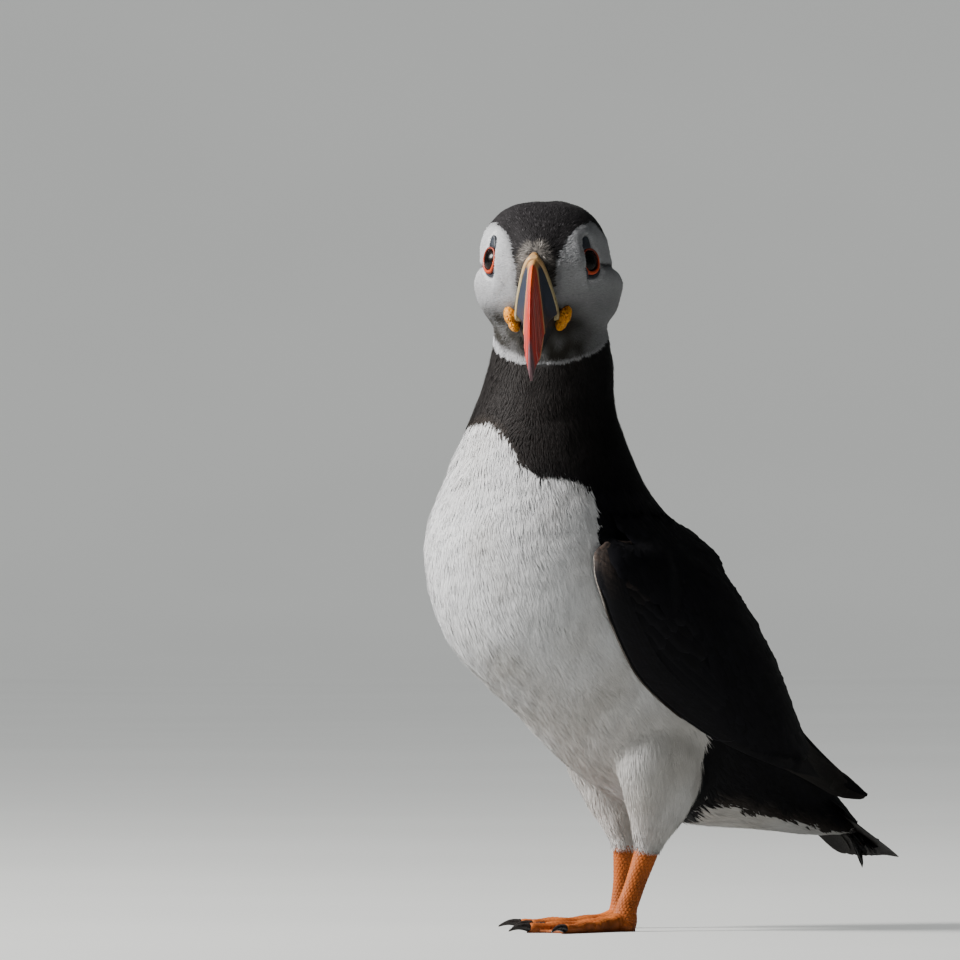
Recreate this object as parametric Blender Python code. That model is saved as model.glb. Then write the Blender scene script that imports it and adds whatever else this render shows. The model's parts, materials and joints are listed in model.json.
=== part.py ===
"""An adult Atlantic puffin in breeding dress, life size, standing upright with its head turned to its left.

The trunk faces -Y, the bird's left is +X and +Z is up. The floor is z = 0. Sizes are in millimetres and are
turned into metres when a mesh is made. Every place is in a design frame whose x = 0 plane is the trunk's plane
of symmetry; the last step moves the whole bird so that its box stands centred on the origin.
"""

import bmesh
import bpy
import numpy as np
from mathutils import Matrix, Vector

MM = 0.001
GAP = 0.35  # clearance between neighbouring pieces

# The spine, from the tips of the tail coverts up to the middle of the head. Each station is an oval ring:
# centre x, y, z, tilt of the ring's axis from vertical in degrees, half width and half depth.
SPINE = {
    "covert tips": (0.0, 98.0, 33.0, 76, 3.0, 2.2),
    "tail coverts": (0.0, 86.0, 37.5, 75, 11.0, 8.0),
    "vent": (0.0, 66.0, 47.5, 69, 20.0, 17.0),
    "rump": (0.0, 45.3, 61.0, 60, 31.0, 30.0),
    "belly": (0.0, 24.0, 78.6, 50, 37.5, 40.3),
    "middle": (0.0, 5.6, 98.0, 40, 40.5, 43.8),
    "breast": (0.0, -15.2, 116.0, 29, 41.0, 44.2),
    "upper breast": (0.0, -24.4, 136.0, 16, 36.8, 39.8),
    "collar": (0.0, -23.0, 155.0, 6, 29.5, 31.7),
    "lower neck": (0.0, -21.0, 172.0, 0, 23.7, 24.5),
    "upper neck": (1.0, -19.2, 188.0, 0, 20.8, 21.0),
    "head base": (5.0, -22.0, 202.0, 0, 18.0, 18.0),
    "head": (7.3, -24.2, 214.0, 0, 14.0, 14.0),
}
STATIONS = list(SPINE)
COLLAR_AT = STATIONS.index("collar") + 0.0
TAIL_AT = STATIONS.index("tail coverts") + 0.35

# The head's own frame: origin at the "head" station, forward along the bill's heading, left, and up.
HEAD_HEADING = 52.0  # degrees from -Y towards the bird's left
HEAD_LOBES = {  # centre and half sizes along forward, left and up
    "skull": ((-2.0, -0.8, 3.5), (25.5, 20.5, 22.0)),
    "left brow": ((-3.0, 5.3, 8.0), (22.0, 15.2, 17.5)),
    "right brow": ((-3.0, -6.8, 8.0), (22.0, 15.2, 17.5)),
    "face": ((8.0, 0.0, 2.0), (16.0, 14.0, 16.0)),
    "left cheek": ((-1.5, 11.4, -3.0), (17.0, 13.4, 13.4)),
    "right cheek": ((-1.5, -10.6, -3.0), (17.0, 13.4, 13.4)),
    "chin": ((3.0, 0.0, -13.0), (14.5, 13.0, 12.5)),
}
LOBE_SHARPNESS = 18.0  # how closely the lobes' joint surface follows the outermost one
NECK_CUT = (0.0, 0.0, -20.5)  # a point of the cut between head and neck, in the head's frame
NECK_CUT_TILT = 27.0

EYE_TOWARDS = (15.0, 17.3, 8.6)  # the eye's direction from the head's centre, in the head's frame
EYE_SHIFT = -0.3  # both eyes sit this far to the left of the bill's plane
EYE_RADIUS = 5.0
EYE_DEPTH = 3.6  # from the head's surface in to the eyeball's centre

# The bill's frame starts at the gape, pitched down; a runs out along the mouth line and b up across it.
GAPE = (19.0, 0.0, -12.0)
BILL_PITCH = 27.0
BILL_LENGTH = 33.4
CULMEN_HEIGHT = 20.6
TIP_DROP = 7.4
GONYS_DEPTH = 14.8
LOWER_TIP_DROP = 4.7
LOWER_LENGTH = 27.0
GAPE_HALF_WIDTH = 7.3
RIDGE_HALF_WIDTH = 1.9
BLADE_HALF_WIDTH = 3.3
CERE_WIDTH = 3.2
CERE_RISE = 0.7
ROSETTE_SIZE = (3.1, 2.0, 4.0)  # half sizes along the bill, sideways and up
ROSETTE_AT = (-2.6, 9.0, -0.6)  # a, left, b in the bill's frame
ROSETTE_LEAN = 24.0  # degrees its top leans outwards

# The folded wing seen from the side: (y, z) along its lower edge and along its upper edge, wrist to tip.
WING_LOWER = ((-26, 131), (-27, 121), (-23, 107), (-16, 94), (-7, 82.5), (4, 73), (17, 65.5), (32, 59),
              (49, 53.5), (66, 49.5), (82, 46), (96, 43))
WING_UPPER = ((-22, 135), (-13, 137), (0, 136), (14, 131), (26, 122), (37, 111), (46, 99.5), (55, 88),
              (63, 77), (72, 66.5), (83, 55.5), (96.5, 44.5))
WING_THICKNESS = 5.0
WING_TIP_THICKNESS = 2.4
WING_TIP_X = 8.0
WING_SINK = 9.0  # how far the blank reaches into the body before the body is cut from it

# Tail: the middle line from root to tip, and the fan's half widths.
TAIL_ROOT = (72.0, 50.0)
TAIL_TIP = (111.0, 25.0)
TAIL_HALF_WIDTHS = (11.0, 21.0)
TAIL_ARCH = 4.0
TAIL_THICKNESS = (3.0, 1.4)
TAIL_ROUNDING = 0.16

# Legs: rings at falling heights. Each is z, centre x, centre y, half width, half depth.
THIGHS = {
    "left": ((84, 17.0, 12.0, 8.0, 12.0), (72, 19.5, 13.0, 11.0, 15.5), (62, 20.5, 12.8, 12.8, 17.0),
             (54, 20.5, 11.8, 12.0, 16.5), (46, 20.0, 11.8, 10.0, 14.5), (38, 19.0, 11.0, 8.0, 11.0),
             (31, 17.8, 9.2, 5.8, 7.2), (26.6, 17.0, 8.3, 4.1, 5.0)),
    "right": ((84, -18.0, 16.0, 8.0, 12.0), (72, -21.0, 16.0, 11.0, 15.5), (62, -22.5, 16.3, 12.8, 17.0),
              (54, -22.0, 16.8, 12.0, 16.5), (46, -20.2, 18.1, 10.0, 14.5), (38, -18.0, 19.0, 8.0, 11.0),
              (31, -16.3, 18.9, 5.8, 7.2), (26.6, -15.0, 18.7, 4.1, 5.0)),
}
SHANKS = {
    "left": ((26.2, 17.0, 8.3, 3.3, 4.4), (22, 17.2, 6.4, 2.9, 4.2), (15, 17.6, 3.1, 2.5, 3.8),
             (9, 17.9, 0.2, 2.7, 3.9), (6.4, 18.0, -1.0, 3.3, 4.0)),
    "right": ((26.2, -15.0, 18.7, 3.3, 4.4), (22, -15.1, 18.6, 2.9, 4.2), (15, -15.3, 18.2, 2.5, 3.8),
              (9, -15.4, 17.6, 2.7, 3.9), (6.4, -15.5, 17.2, 3.3, 4.0)),
}
TOES = {"inner": (-31.0, 26.0), "middle": (-3.0, 35.0), "outer": (24.0, 33.0)}  # angle outwards, length
TOE_RADII = (2.6, 1.7)
CLAW_LENGTH = 6.5
CLAW_RADIUS = 1.4
WEB_THICKNESS = 1.2
WEB_SCALLOP = 0.13
HEEL_RADIUS = 4.4
HEEL_HEIGHT = 6.0

COLS = 36


# Curves and frames


def smooth_through(values, at):
    """A smooth curve through the rows of values, read at positions counted in rows from 0."""
    values = np.asarray(values, float)
    at = np.clip(np.asarray(at, float), 0, len(values) - 1)
    low = np.minimum(at.astype(int), len(values) - 2)
    t = (at - low)[..., None]
    slope = np.gradient(values, axis=0)
    start, end, leaving, arriving = values[low], values[low + 1], slope[low], slope[low + 1]
    return (
        (2 * t**3 - 3 * t**2 + 1) * start
        + (t**3 - 2 * t**2 + t) * leaving
        + (3 * t**2 - 2 * t**3) * end
        + (t**3 - t**2) * arriving
    )


def head_axes():
    """The head's centre, and its forward, left and up directions as the rows of a matrix."""
    heading = np.radians(HEAD_HEADING)
    forward = (np.sin(heading), -np.cos(heading), 0.0)
    left = (np.cos(heading), np.sin(heading), 0.0)
    return np.array(SPINE["head"][:3]), np.array([forward, left, (0.0, 0.0, 1.0)])


def head_point(local):
    """Design-frame places of points given along the head's forward, left and up."""
    centre, axes = head_axes()
    return centre + np.asarray(local, float) @ axes


def bill_point(a, left, b):
    """Design-frame places of points given in the bill's frame."""
    pitch = np.radians(BILL_PITCH)
    forward = GAPE[0] + a * np.cos(pitch) + b * np.sin(pitch)
    up = GAPE[2] - a * np.sin(pitch) + b * np.cos(pitch)
    return head_point(np.stack(np.broadcast_arrays(forward, left, up), -1))


# The body's surface: how far it lies from the spine along a ray


def lobe_reach(origins, directions):
    """How far each ray runs before it leaves each lobe of the head, or 0 where it misses the lobe."""
    centre, axes = head_axes()
    start, along = (origins - centre) @ axes.T, directions @ axes.T
    found = []
    for middle, half in HEAD_LOBES.values():
        o, d = (start - middle) / half, along / half
        a, b, c = (d * d).sum(-1), (o * d).sum(-1), (o * o).sum(-1) - 1
        inside_root = b * b - a * c
        root = (-b + np.sqrt(np.maximum(inside_root, 0))) / a
        found.append(np.where(inside_root > 0, np.maximum(root, 0), 0))
    return found


def surface(at, turn, lift=0.0, grow=0.0):
    """Points of the body. at counts stations along the spine, turn is the angle round it from the belly to
    the bird's left, and lift raises the ray out of the ring's plane. grow pushes the surface out."""
    at, turn, lift = np.broadcast_arrays(at, turn, lift)
    ring = smooth_through(list(SPINE.values()), at)
    centre, tilt, half_width, half_depth = ring[..., :3], np.radians(ring[..., 3]), ring[..., 4], ring[..., 5]
    zero = np.zeros_like(tilt)
    belly = np.stack([zero, -np.cos(tilt), -np.sin(tilt)], -1)
    axis = np.stack([zero, -np.sin(tilt), np.cos(tilt)], -1)
    side = np.array([1.0, 0.0, 0.0])
    flat = np.cos(turn)[..., None] * belly + np.sin(turn)[..., None] * side
    direction = np.cos(lift)[..., None] * flat + np.sin(lift)[..., None] * axis
    oval = 1 / np.sqrt((np.cos(turn) / half_depth) ** 2 + (np.sin(turn) / half_width) ** 2)
    reach = sum(r**LOBE_SHARPNESS for r in [oval, *lobe_reach(centre, direction)]) ** (1 / LOBE_SHARPNESS)
    return centre + direction * (reach + grow)[..., None]


def body_grid(cols, grow=0.0, per_station=3, crown_rows=9):
    """Rings of the whole body from the tail coverts to just under the crown's pole, and the two poles."""
    last = len(STATIONS) - 1
    turn = np.linspace(0, 2 * np.pi, cols, endpoint=False)
    rows = np.linspace(0, last, last * per_station + 1)
    tube = surface(rows[:, None], turn, 0.0, grow)
    lifts = np.linspace(0, np.pi / 2, crown_rows + 1)[1:-1]
    crown = surface(float(last), turn, lifts[:, None], grow)
    crown_pole = surface(float(last), 0.0, np.pi / 2, grow)
    tail_pole = np.array(SPINE["covert tips"][:3]) + (0.0, 1.5 + grow, -0.4)
    return np.concatenate([tube, crown]), tail_pole, crown_pole


def flank_x(y, z):
    """The trunk's half width at a place seen from the side, or 0 outside its outline."""
    at = np.linspace(0, len(STATIONS) - 2, 400)
    ring = smooth_through(list(SPINE.values()), at)
    tilt = np.radians(ring[:, 3])
    dy, dz = y[..., None] - ring[:, 1], z[..., None] - ring[:, 2]
    along = np.abs(-dy * np.sin(tilt) + dz * np.cos(tilt))
    nearest = along.argmin(-1)
    pick = np.take_along_axis
    down = pick(-dy * np.cos(tilt) - dz * np.sin(tilt), nearest[..., None], -1)[..., 0]
    width, depth = ring[nearest, 4], ring[nearest, 5]
    return width * np.sqrt(np.maximum(1 - (down / depth) ** 2, 0))


# Meshes


def closed_rings(rings, first_pole=None, last_pole=None):
    """Vertices and faces of stacked rings, closed by a pole, or by a flat face where no pole is given."""
    rows, cols = rings.shape[:2]
    places = [*rings.reshape(-1, 3)]
    faces = []
    for row in range(rows - 1):
        for col in range(cols):
            after = (col + 1) % cols
            here, above = row * cols, (row + 1) * cols
            faces.append((here + col, here + after, above + after, above + col))
    for pole, start in ((first_pole, 0), (last_pole, (rows - 1) * cols)):
        if pole is None:
            faces.append(tuple(range(start, start + cols)))
            continue
        places.append(pole)
        faces += [(start + col, start + (col + 1) % cols, len(places) - 1) for col in range(cols)]
    return places, faces


def thick_sheet(outer, inner):
    """Vertices and faces of a closed sheet between two grids of the same size."""
    rows, cols = outer.shape[:2]
    count = rows * cols
    grid = np.arange(count).reshape(rows, cols)
    faces = []
    for row in range(rows - 1):
        for col in range(cols - 1):
            quad = [grid[row, col], grid[row, col + 1], grid[row + 1, col + 1], grid[row + 1, col]]
            faces += [tuple(quad), tuple(i + count for i in reversed(quad))]
    rim = [*grid[0, :-1], *grid[:-1, -1], *grid[-1, :0:-1], *grid[:0:-1, 0]]
    for i, j in zip(rim, rim[1:] + rim[:1]):
        faces.append((j, i, i + count, j + count))
    return [*outer.reshape(-1, 3), *inner.reshape(-1, 3)], faces


def material(name, colour, roughness):
    """A plain coloured finish."""
    made = bpy.data.materials.get(name) or bpy.data.materials.new(name)
    made.use_nodes = True
    shader = made.node_tree.nodes["Principled BSDF"]
    shader.inputs["Base Color"].default_value = (*colour, 1.0)
    shader.inputs["Roughness"].default_value = roughness
    made.diffuse_color = (*colour, 1.0)
    return made


FINISHES = {
    "black feather": ((0.012, 0.012, 0.014), 0.7),
    "white feather": ((0.78, 0.78, 0.76), 0.85),
    "face feather": ((0.55, 0.56, 0.58), 0.85),
    "eye": ((0.01, 0.008, 0.007), 0.1),
    "red horn": ((0.62, 0.10, 0.04), 0.35),
    "slate horn": ((0.06, 0.075, 0.1), 0.4),
    "cere": ((0.72, 0.62, 0.38), 0.5),
    "rosette": ((0.8, 0.36, 0.02), 0.6),
    "leg skin": ((0.75, 0.22, 0.04), 0.5),
    "claw": ((0.02, 0.018, 0.018), 0.35),
}


def piece(name, places, faces, finish, smooth=True):
    """Makes a named object from millimetre places, with its faces turned outwards."""
    mesh = bpy.data.meshes.new(name)
    mesh.from_pydata([Vector(p) * MM for p in places], [], faces)
    shape = bmesh.new()
    shape.from_mesh(mesh)
    bmesh.ops.recalc_face_normals(shape, faces=shape.faces)
    bmesh.ops.triangulate(shape, faces=[f for f in shape.faces if len(f.verts) > 4])
    shape.to_mesh(mesh)
    shape.free()
    if smooth:
        mesh.shade_smooth()
    colour, roughness = FINISHES[finish]
    mesh.materials.append(material(finish, colour, roughness))
    made = bpy.data.objects.new(name, mesh)
    bpy.context.scene.collection.objects.link(made)
    return made


def helper(made):
    """Marks a cutter, which isn't part of the bird."""
    made.hide_render = True
    made.display_type = "WIRE"
    return made


def combine(target, other, operation="DIFFERENCE"):
    """Adds a Boolean to target."""
    boolean = target.modifiers.new(f"{operation.lower()} {other.name}", "BOOLEAN")
    boolean.operation = operation
    boolean.object = other
    return target


def keep_side(made, point, normal):
    """Cuts a closed mesh by a plane, keeps the side that normal points to, and closes the cut."""
    shape = bmesh.new()
    shape.from_mesh(made.data)
    cut = bmesh.ops.bisect_plane(
        shape,
        geom=shape.verts[:] + shape.edges[:] + shape.faces[:],
        plane_co=Vector(point) * MM,
        plane_no=Vector(normal),
        clear_inner=True,
    )
    edges = [e for e in cut["geom_cut"] if isinstance(e, bmesh.types.BMEdge)]
    cap = bmesh.ops.edgeloop_fill(shape, edges=edges)["faces"]
    bmesh.ops.triangulate(shape, faces=cap)
    bmesh.ops.recalc_face_normals(shape, faces=shape.faces)
    shape.to_mesh(made.data)
    shape.free()


# Trunk, neck and head


def whole_body(name, finish, grow=0.0):
    """The trunk, neck and head as one closed mesh."""
    rings, tail_pole, crown_pole = body_grid(COLS, grow)
    return piece(name, *closed_rings(rings, tail_pole, crown_pole), finish)


def spine_plane(at):
    """A point and the upward axis of the spine's ring at that station."""
    x, y, z, tilt = smooth_through(list(SPINE.values()), at)[:4]
    tilt = np.radians(tilt)
    return np.array([x, y, z]), np.array([0.0, -np.sin(tilt), np.cos(tilt)])


def neck_plane():
    """A point and the upward axis of the cut between head and neck."""
    tilt = np.radians(NECK_CUT_TILT)
    return head_point(NECK_CUT), np.array([np.sin(tilt), 0.0, np.cos(tilt)]) @ head_axes()[1]


def make_body(body_cutter):
    """Tail coverts, trunk, neck and head, parted by thin flat cuts."""
    planes = [spine_plane(TAIL_AT), spine_plane(COLLAR_AT), neck_plane()]
    names = (("tail", "black feather"), ("trunk", "white feather"), ("neck", "black feather"),
             ("head", "face feather"))
    made = {}
    for i, (name, finish) in enumerate(names):
        made[name] = whole_body(name, finish)
        if i > 0:
            point, axis = planes[i - 1]
            keep_side(made[name], point + axis * GAP / 2, axis)
        if i < len(planes):
            point, axis = planes[i]
            keep_side(made[name], point - axis * GAP / 2, -axis)
    return made


def eye_centre(side):
    """The eyeball's centre: inwards from the head's surface along the ray to the eye."""
    towards = np.array(EYE_TOWARDS) * (1, side, 1)
    towards = towards / np.linalg.norm(towards)
    start = np.zeros(3)
    reach = sum(
        r**LOBE_SHARPNESS for r in lobe_reach(head_point(start), towards @ head_axes()[1])
    ) ** (1 / LOBE_SHARPNESS)
    return head_point(towards * (reach - EYE_DEPTH) + (0, EYE_SHIFT, 0))


def ball(name, centre, radius, finish, rows=8, cols=14, axes=None):
    """A round ball of rings. axes turns it: its rows are the directions of the ball's own x, y and z."""
    axes = np.eye(3) if axes is None else np.asarray(axes)
    lift = np.linspace(-np.pi / 2, np.pi / 2, rows + 1)[1:-1, None]
    turn = np.linspace(0, 2 * np.pi, cols, endpoint=False)
    shape = np.stack(np.broadcast_arrays(np.cos(lift) * np.cos(turn), np.cos(lift) * np.sin(turn),
                                         np.sin(lift)), -1)
    size = np.asarray(radius, float) * np.ones(3)
    poles = [centre + (size * (0, 0, s)) @ axes for s in (-1, 1)]
    return piece(name, *closed_rings(centre + (shape * size) @ axes, *poles), finish)


def make_eyes(head):
    """Two eyeballs in sockets."""
    for side, word in ((1, "left"), (-1, "right")):
        centre = eye_centre(side)
        ball(f"eye_{word}", centre, EYE_RADIUS, "eye")
        combine(head, helper(ball(f"socket_{word}", centre, EYE_RADIUS + GAP, "eye")))


# Bill


def bill_ring(a, low, high, half_width, ridge, grow=0.0, side_points=6):
    """One closed ring of the bill at a: up its left side from low to high and down its right side. The side
    leans in from half_width at the mouth line to ridge at the far edge, and both ends are rounded."""
    share = np.linspace(0, 1, side_points)
    b = low + (high - low) * share
    wide = np.abs(b) / max(abs(low), abs(high), 1e-6)
    half = ridge + (half_width - ridge) * (1 - wide**1.5)
    half = half * np.sqrt(np.clip(1 - (2 * share - 1) ** 8, 0.12, 1)) + grow
    b = b + grow * (2 * share - 1)
    left = bill_point(a, half, b)
    right = bill_point(a, -half, b)
    return np.concatenate([left, right[::-1]])


def mandible(name, sections, finish, grow=0.0):
    """A closed shape through bill rings; each section is a, low, high, half_width, ridge."""
    rings = np.array([bill_ring(*section, grow=grow) for section in sections])
    return piece(name, *closed_rings(rings), finish)


def width_along(share):
    """The bill's half width at the mouth line, which narrows fast to a blade and then slowly to the tip."""
    flare = (GAPE_HALF_WIDTH - BLADE_HALF_WIDTH) * np.clip(1 - share / 0.5, 0, 1) ** 1.4
    blade = BLADE_HALF_WIDTH * np.sqrt(np.clip(1 - share**2.6, 0.02, 1))
    return flare + blade


def upper_sections(steps=9, tip_share=0.985):
    """The upper mandible follows a quarter oval from the culmen's base down to the hooked tip."""
    sections = []
    for share in np.linspace(0, tip_share, steps):
        high = -TIP_DROP + (CULMEN_HEIGHT + TIP_DROP) * np.sqrt(1 - share**2.1)
        low = GAP / 2 - (TIP_DROP - 0.6) * share**3
        ridge = RIDGE_HALF_WIDTH * np.sqrt(1 - 0.75 * share**3)
        sections.append((share * BILL_LENGTH, low, high, width_along(share), ridge))
    return sections


def lower_sections(steps=8, tip_share=1.0):
    """The lower mandible lies under the upper one and ends short of its tip."""
    sections = []
    for share in np.linspace(0, tip_share, steps):
        reach = share * LOWER_LENGTH / BILL_LENGTH
        low = -LOWER_TIP_DROP - (GONYS_DEPTH - LOWER_TIP_DROP) * (1 - share**2)
        high = -GAP / 2 - (TIP_DROP - 0.6) * reach**3 - GAP
        half = width_along(reach) * 0.87
        sections.append((share * LOWER_LENGTH, low, high, half, RIDGE_HALF_WIDTH * (1 - 0.4 * share)))
    return sections


def make_bill(head_cutter):
    """Cere, upper and lower mandible and the two gape rosettes."""
    _, low, high, half, ridge = upper_sections()[0]
    rim = [(a, low, high + CERE_RISE, half + CERE_RISE, ridge + CERE_RISE) for a in (-16.0, -8.0, -GAP)]
    combine(mandible("cere", rim, "cere"), head_cutter)
    combine(mandible("bill_upper", upper_sections(), "red horn"), head_cutter)
    lower_rim = lower_sections()[0]
    lower = mandible("bill_lower", [(-16.0, *lower_rim[1:]), *lower_sections()], "slate horn")
    combine(lower, head_cutter)
    keep_out = [helper(mandible(f"{n}_room", s, "cere", GAP)) for n, s in
                (("cere", rim), ("upper", upper_sections()),
                 ("lower", [(-16.0, *lower_rim[1:]), *lower_sections()]))]
    for side, word in ((1, "left"), (-1, "right")):
        a, left, b = ROSETTE_AT
        lean = np.radians(ROSETTE_LEAN) * side
        turned = np.array([[1, 0, 0], [0, np.cos(lean), -np.sin(lean)], [0, np.sin(lean), np.cos(lean)]])
        made = ball(f"rosette_{word}", bill_point(a, left * side, b), ROSETTE_SIZE, "rosette", 6, 10,
                    turned @ head_axes()[1])
        for cutter in (head_cutter, *keep_out):
            combine(made, cutter)


# Wings


def wing_grid(rows=18, cols=8, grow=0.0):
    """The blank of the left wing: its outer grid, and its inner grid sunk into the body."""
    along = np.linspace(0, len(WING_LOWER) - 1, rows)
    lower, upper = smooth_through(WING_LOWER, along), smooth_through(WING_UPPER, along)
    across = (upper - lower) / np.linalg.norm(upper - lower, axis=1)[:, None]
    lower, upper = lower - grow * across, upper + grow * across
    across = np.linspace(0, 1, cols)
    edge = lower[:, None] + (upper - lower)[:, None] * across[None, :, None]
    y, z = edge[..., 0], edge[..., 1]
    share = (along / along[-1])[:, None]
    bulge = np.sqrt(np.clip(1 - (2 * across - 1) ** 4, 0.06, 1))
    bulge = bulge * np.sqrt(np.clip(np.sin(np.pi * np.clip(share * 3, 0, 0.5)), 0.25, 1))
    thick = (WING_THICKNESS + (WING_TIP_THICKNESS - WING_THICKNESS) * share) * bulge
    free = WING_TIP_X + 14.0 * (1 - share)
    bare = flank_x(y, z)
    base = (bare**6 + free**6) ** (1 / 6)
    outer = np.stack([base + thick + grow, y, z], -1)
    sink = np.where(bare > free * 0.8, WING_SINK, WING_TIP_THICKNESS * 0.6) + grow
    inner = np.stack([base - sink * np.clip(bare / free, 0.8, 1.4), y, z], -1)
    return outer, inner


def make_wing(side, word, body_cutter):
    """A folded wing laid on the body. Returns a cutter that leaves room for it."""
    flip = np.array([side, 1, 1])
    outer, inner = wing_grid()
    made = piece(f"wing_{word}", *thick_sheet(outer * flip, inner * flip), "black feather")
    combine(made, body_cutter)
    outer, inner = wing_grid(grow=GAP)
    return helper(piece(f"wing_room_{word}", *thick_sheet(outer * flip, inner * flip), "black feather"))


# Tail


def make_tail(tail):
    """A fan of rectrices as one arched plate, joined to the tail coverts."""
    share = np.linspace(0, 1, 5)[:, None]
    across = np.linspace(-1, 1, 13)[None]
    reach = share * (1 - TAIL_ROUNDING * np.abs(across) ** 2.4)
    half_width = TAIL_HALF_WIDTHS[0] + (TAIL_HALF_WIDTHS[1] - TAIL_HALF_WIDTHS[0]) * reach
    y = TAIL_ROOT[0] + (TAIL_TIP[0] - TAIL_ROOT[0]) * reach
    z = TAIL_ROOT[1] + (TAIL_TIP[1] - TAIL_ROOT[1]) * reach - TAIL_ARCH * across**2
    thick = TAIL_THICKNESS[0] + (TAIL_THICKNESS[1] - TAIL_THICKNESS[0]) * share
    top = np.stack(np.broadcast_arrays(across * half_width, y, z + thick / 2), -1)
    under = np.stack(np.broadcast_arrays(across * half_width, y, z - thick / 2), -1)
    fan = helper(piece("tail_fan", *thick_sheet(top, under), "black feather"))
    point, axis = spine_plane(TAIL_AT)
    keep_side(fan, point - axis * GAP / 2, -axis)
    combine(tail, fan, "UNION")


# Legs and feet


def leg_rings(rings, cols=16):
    """Level oval rings of a leg."""
    turn = np.linspace(0, 2 * np.pi, cols, endpoint=False)
    return np.array([
        (x, y, z) + np.stack([half_width * np.sin(turn), half_depth * np.cos(turn), 0 * turn], -1)
        for z, x, y, half_width, half_depth in rings
    ])


def tube(name, spine, radii, finish, cols=8):
    """A round tube along the points of spine."""
    spine = np.asarray(spine, float)
    along = np.gradient(spine, axis=0)
    along /= np.linalg.norm(along, axis=1)[:, None]
    side = np.cross(along, (0, 0, 1.0))
    side /= np.linalg.norm(side, axis=1)[:, None]
    up = np.cross(side, along)
    turn = np.linspace(0, 2 * np.pi, cols, endpoint=False)[None, :, None]
    radii = np.asarray(radii, float)[:, None, None]
    rings = spine[:, None] + radii * (np.cos(turn) * side[:, None] + np.sin(turn) * up[:, None])
    return piece(name, *closed_rings(rings), finish)


def toe_direction(side, angle):
    """The level direction of a toe; angle is outwards from straight ahead."""
    turned = np.radians(angle) * side
    return np.array([np.sin(turned), -np.cos(turned), 0.0])


def foot_outline(angles):
    """How far the foot reaches from its heel at each angle: heel, toes with round ends, and web."""
    reach = np.full(angles.shape, HEEL_RADIUS)
    for angle, length in TOES.values():
        off = np.radians(angles - angle)
        middle = length - TOE_RADII[1]
        miss = middle * np.sin(np.abs(off))
        tip = middle * np.cos(off) + np.sqrt(np.maximum(TOE_RADII[1] ** 2 - miss**2, 0))
        flank = TOE_RADII[1] / np.maximum(np.sin(np.abs(off)), 1e-3)
        ahead = np.abs(off) < np.pi / 2
        reach = np.maximum(reach, np.where(ahead, np.where(miss < TOE_RADII[1], tip, flank), 0))
    toes = np.array(list(TOES.values()))
    for (first, length0), (second, length1) in zip(toes, toes[1:]):
        share = (angles - first) / (second - first)
        web = (length0 + (length1 - length0) * share) * (0.96 - WEB_SCALLOP * np.sin(np.pi * share))
        reach = np.where((share >= 0) & (share <= 1), np.maximum(reach, web), reach)
    return reach


def foot_height(angles, reach):
    """The height of the foot's upper side at each angle and distance from the heel."""
    heel = HEEL_HEIGHT * np.sqrt(np.maximum(1 - (reach / (HEEL_RADIUS * 1.05)) ** 2, 0))
    height = np.maximum(np.maximum(heel, WEB_THICKNESS), 0)
    for angle, length in TOES.values():
        off = np.radians(angles - angle)
        along, aside = reach * np.cos(off), reach * np.sin(off)
        radius = TOE_RADII[0] + (TOE_RADII[1] - TOE_RADII[0]) * np.clip(along / length, 0, 1)
        over = np.maximum(along - (length - radius), 0)
        round_off = 1 - (aside**2 + over**2) / radius**2
        toe = radius * (0.8 + np.sqrt(np.maximum(round_off, 0)))
        height = np.where((round_off > 0) & (along > 0), np.maximum(height, toe), height)
    return height


def make_foot(word, side, heel):
    """A webbed foot with a flat sole on the floor, as one closed shape round its heel."""
    toes = [angle for angle, _ in TOES.values()]
    near = [angle + off for angle in toes for off in (-8.0, -4.2, -2.1, 0.0, 2.1, 4.2, 8.0)]
    web = [(first + second) / 2 for first, second in zip(toes, toes[1:])]
    back = np.linspace(toes[-1] + 20, toes[0] + 340, 11)
    angles = np.unique([*near, *web, *back])
    outline = foot_outline(angles)
    share = np.array([0.08, 0.2, 0.36, 0.55, 0.75, 0.9, 1.0])[:, None]
    reach = share * outline
    height = foot_height(angles, reach)
    turned = np.radians(angles) * side
    rings = np.stack([heel[0] + np.sin(turned) * reach, heel[1] - np.cos(turned) * reach, height], -1)
    sole = rings[-1] * (1, 1, 0)
    top, bottom = np.array([*heel, HEEL_HEIGHT]), np.array([*heel, 0.0])
    return piece(f"foot_{word}", *closed_rings(np.array([*rings, sole]), top, bottom), "leg skin")


def make_leg(side, word, rooms):
    """Feathered thigh, bare shank, webbed foot and three claws of one leg."""
    thigh = piece(f"thigh_{word}", *closed_rings(leg_rings(THIGHS[word])), "white feather")
    for room in rooms:
        combine(thigh, room)
    shank = leg_rings(SHANKS[word])
    piece(f"shank_{word}", *closed_rings(shank), "leg skin")
    heel = shank[-1].mean(0)[:2] + (0.0, -1.2)
    make_foot(word, side, heel)
    for toe, (angle, length) in TOES.items():
        ahead = toe_direction(side, angle)
        share = np.linspace(0, 1, 5)
        claw = np.array([*heel, 0.0]) + ahead * (length + GAP + CLAW_LENGTH * share)[:, None]
        claw[:, 2] = CLAW_RADIUS * (1.15 + 0.6 * np.sin(np.pi * share) - 0.6 * share)
        tube(f"claw_{word}_{toe}", claw, CLAW_RADIUS * (1 - 0.72 * share), "claw")


# The whole bird


def clear_scene():
    """Removes the startup objects."""
    for old in list(bpy.data.objects):
        bpy.data.objects.remove(old)


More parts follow.
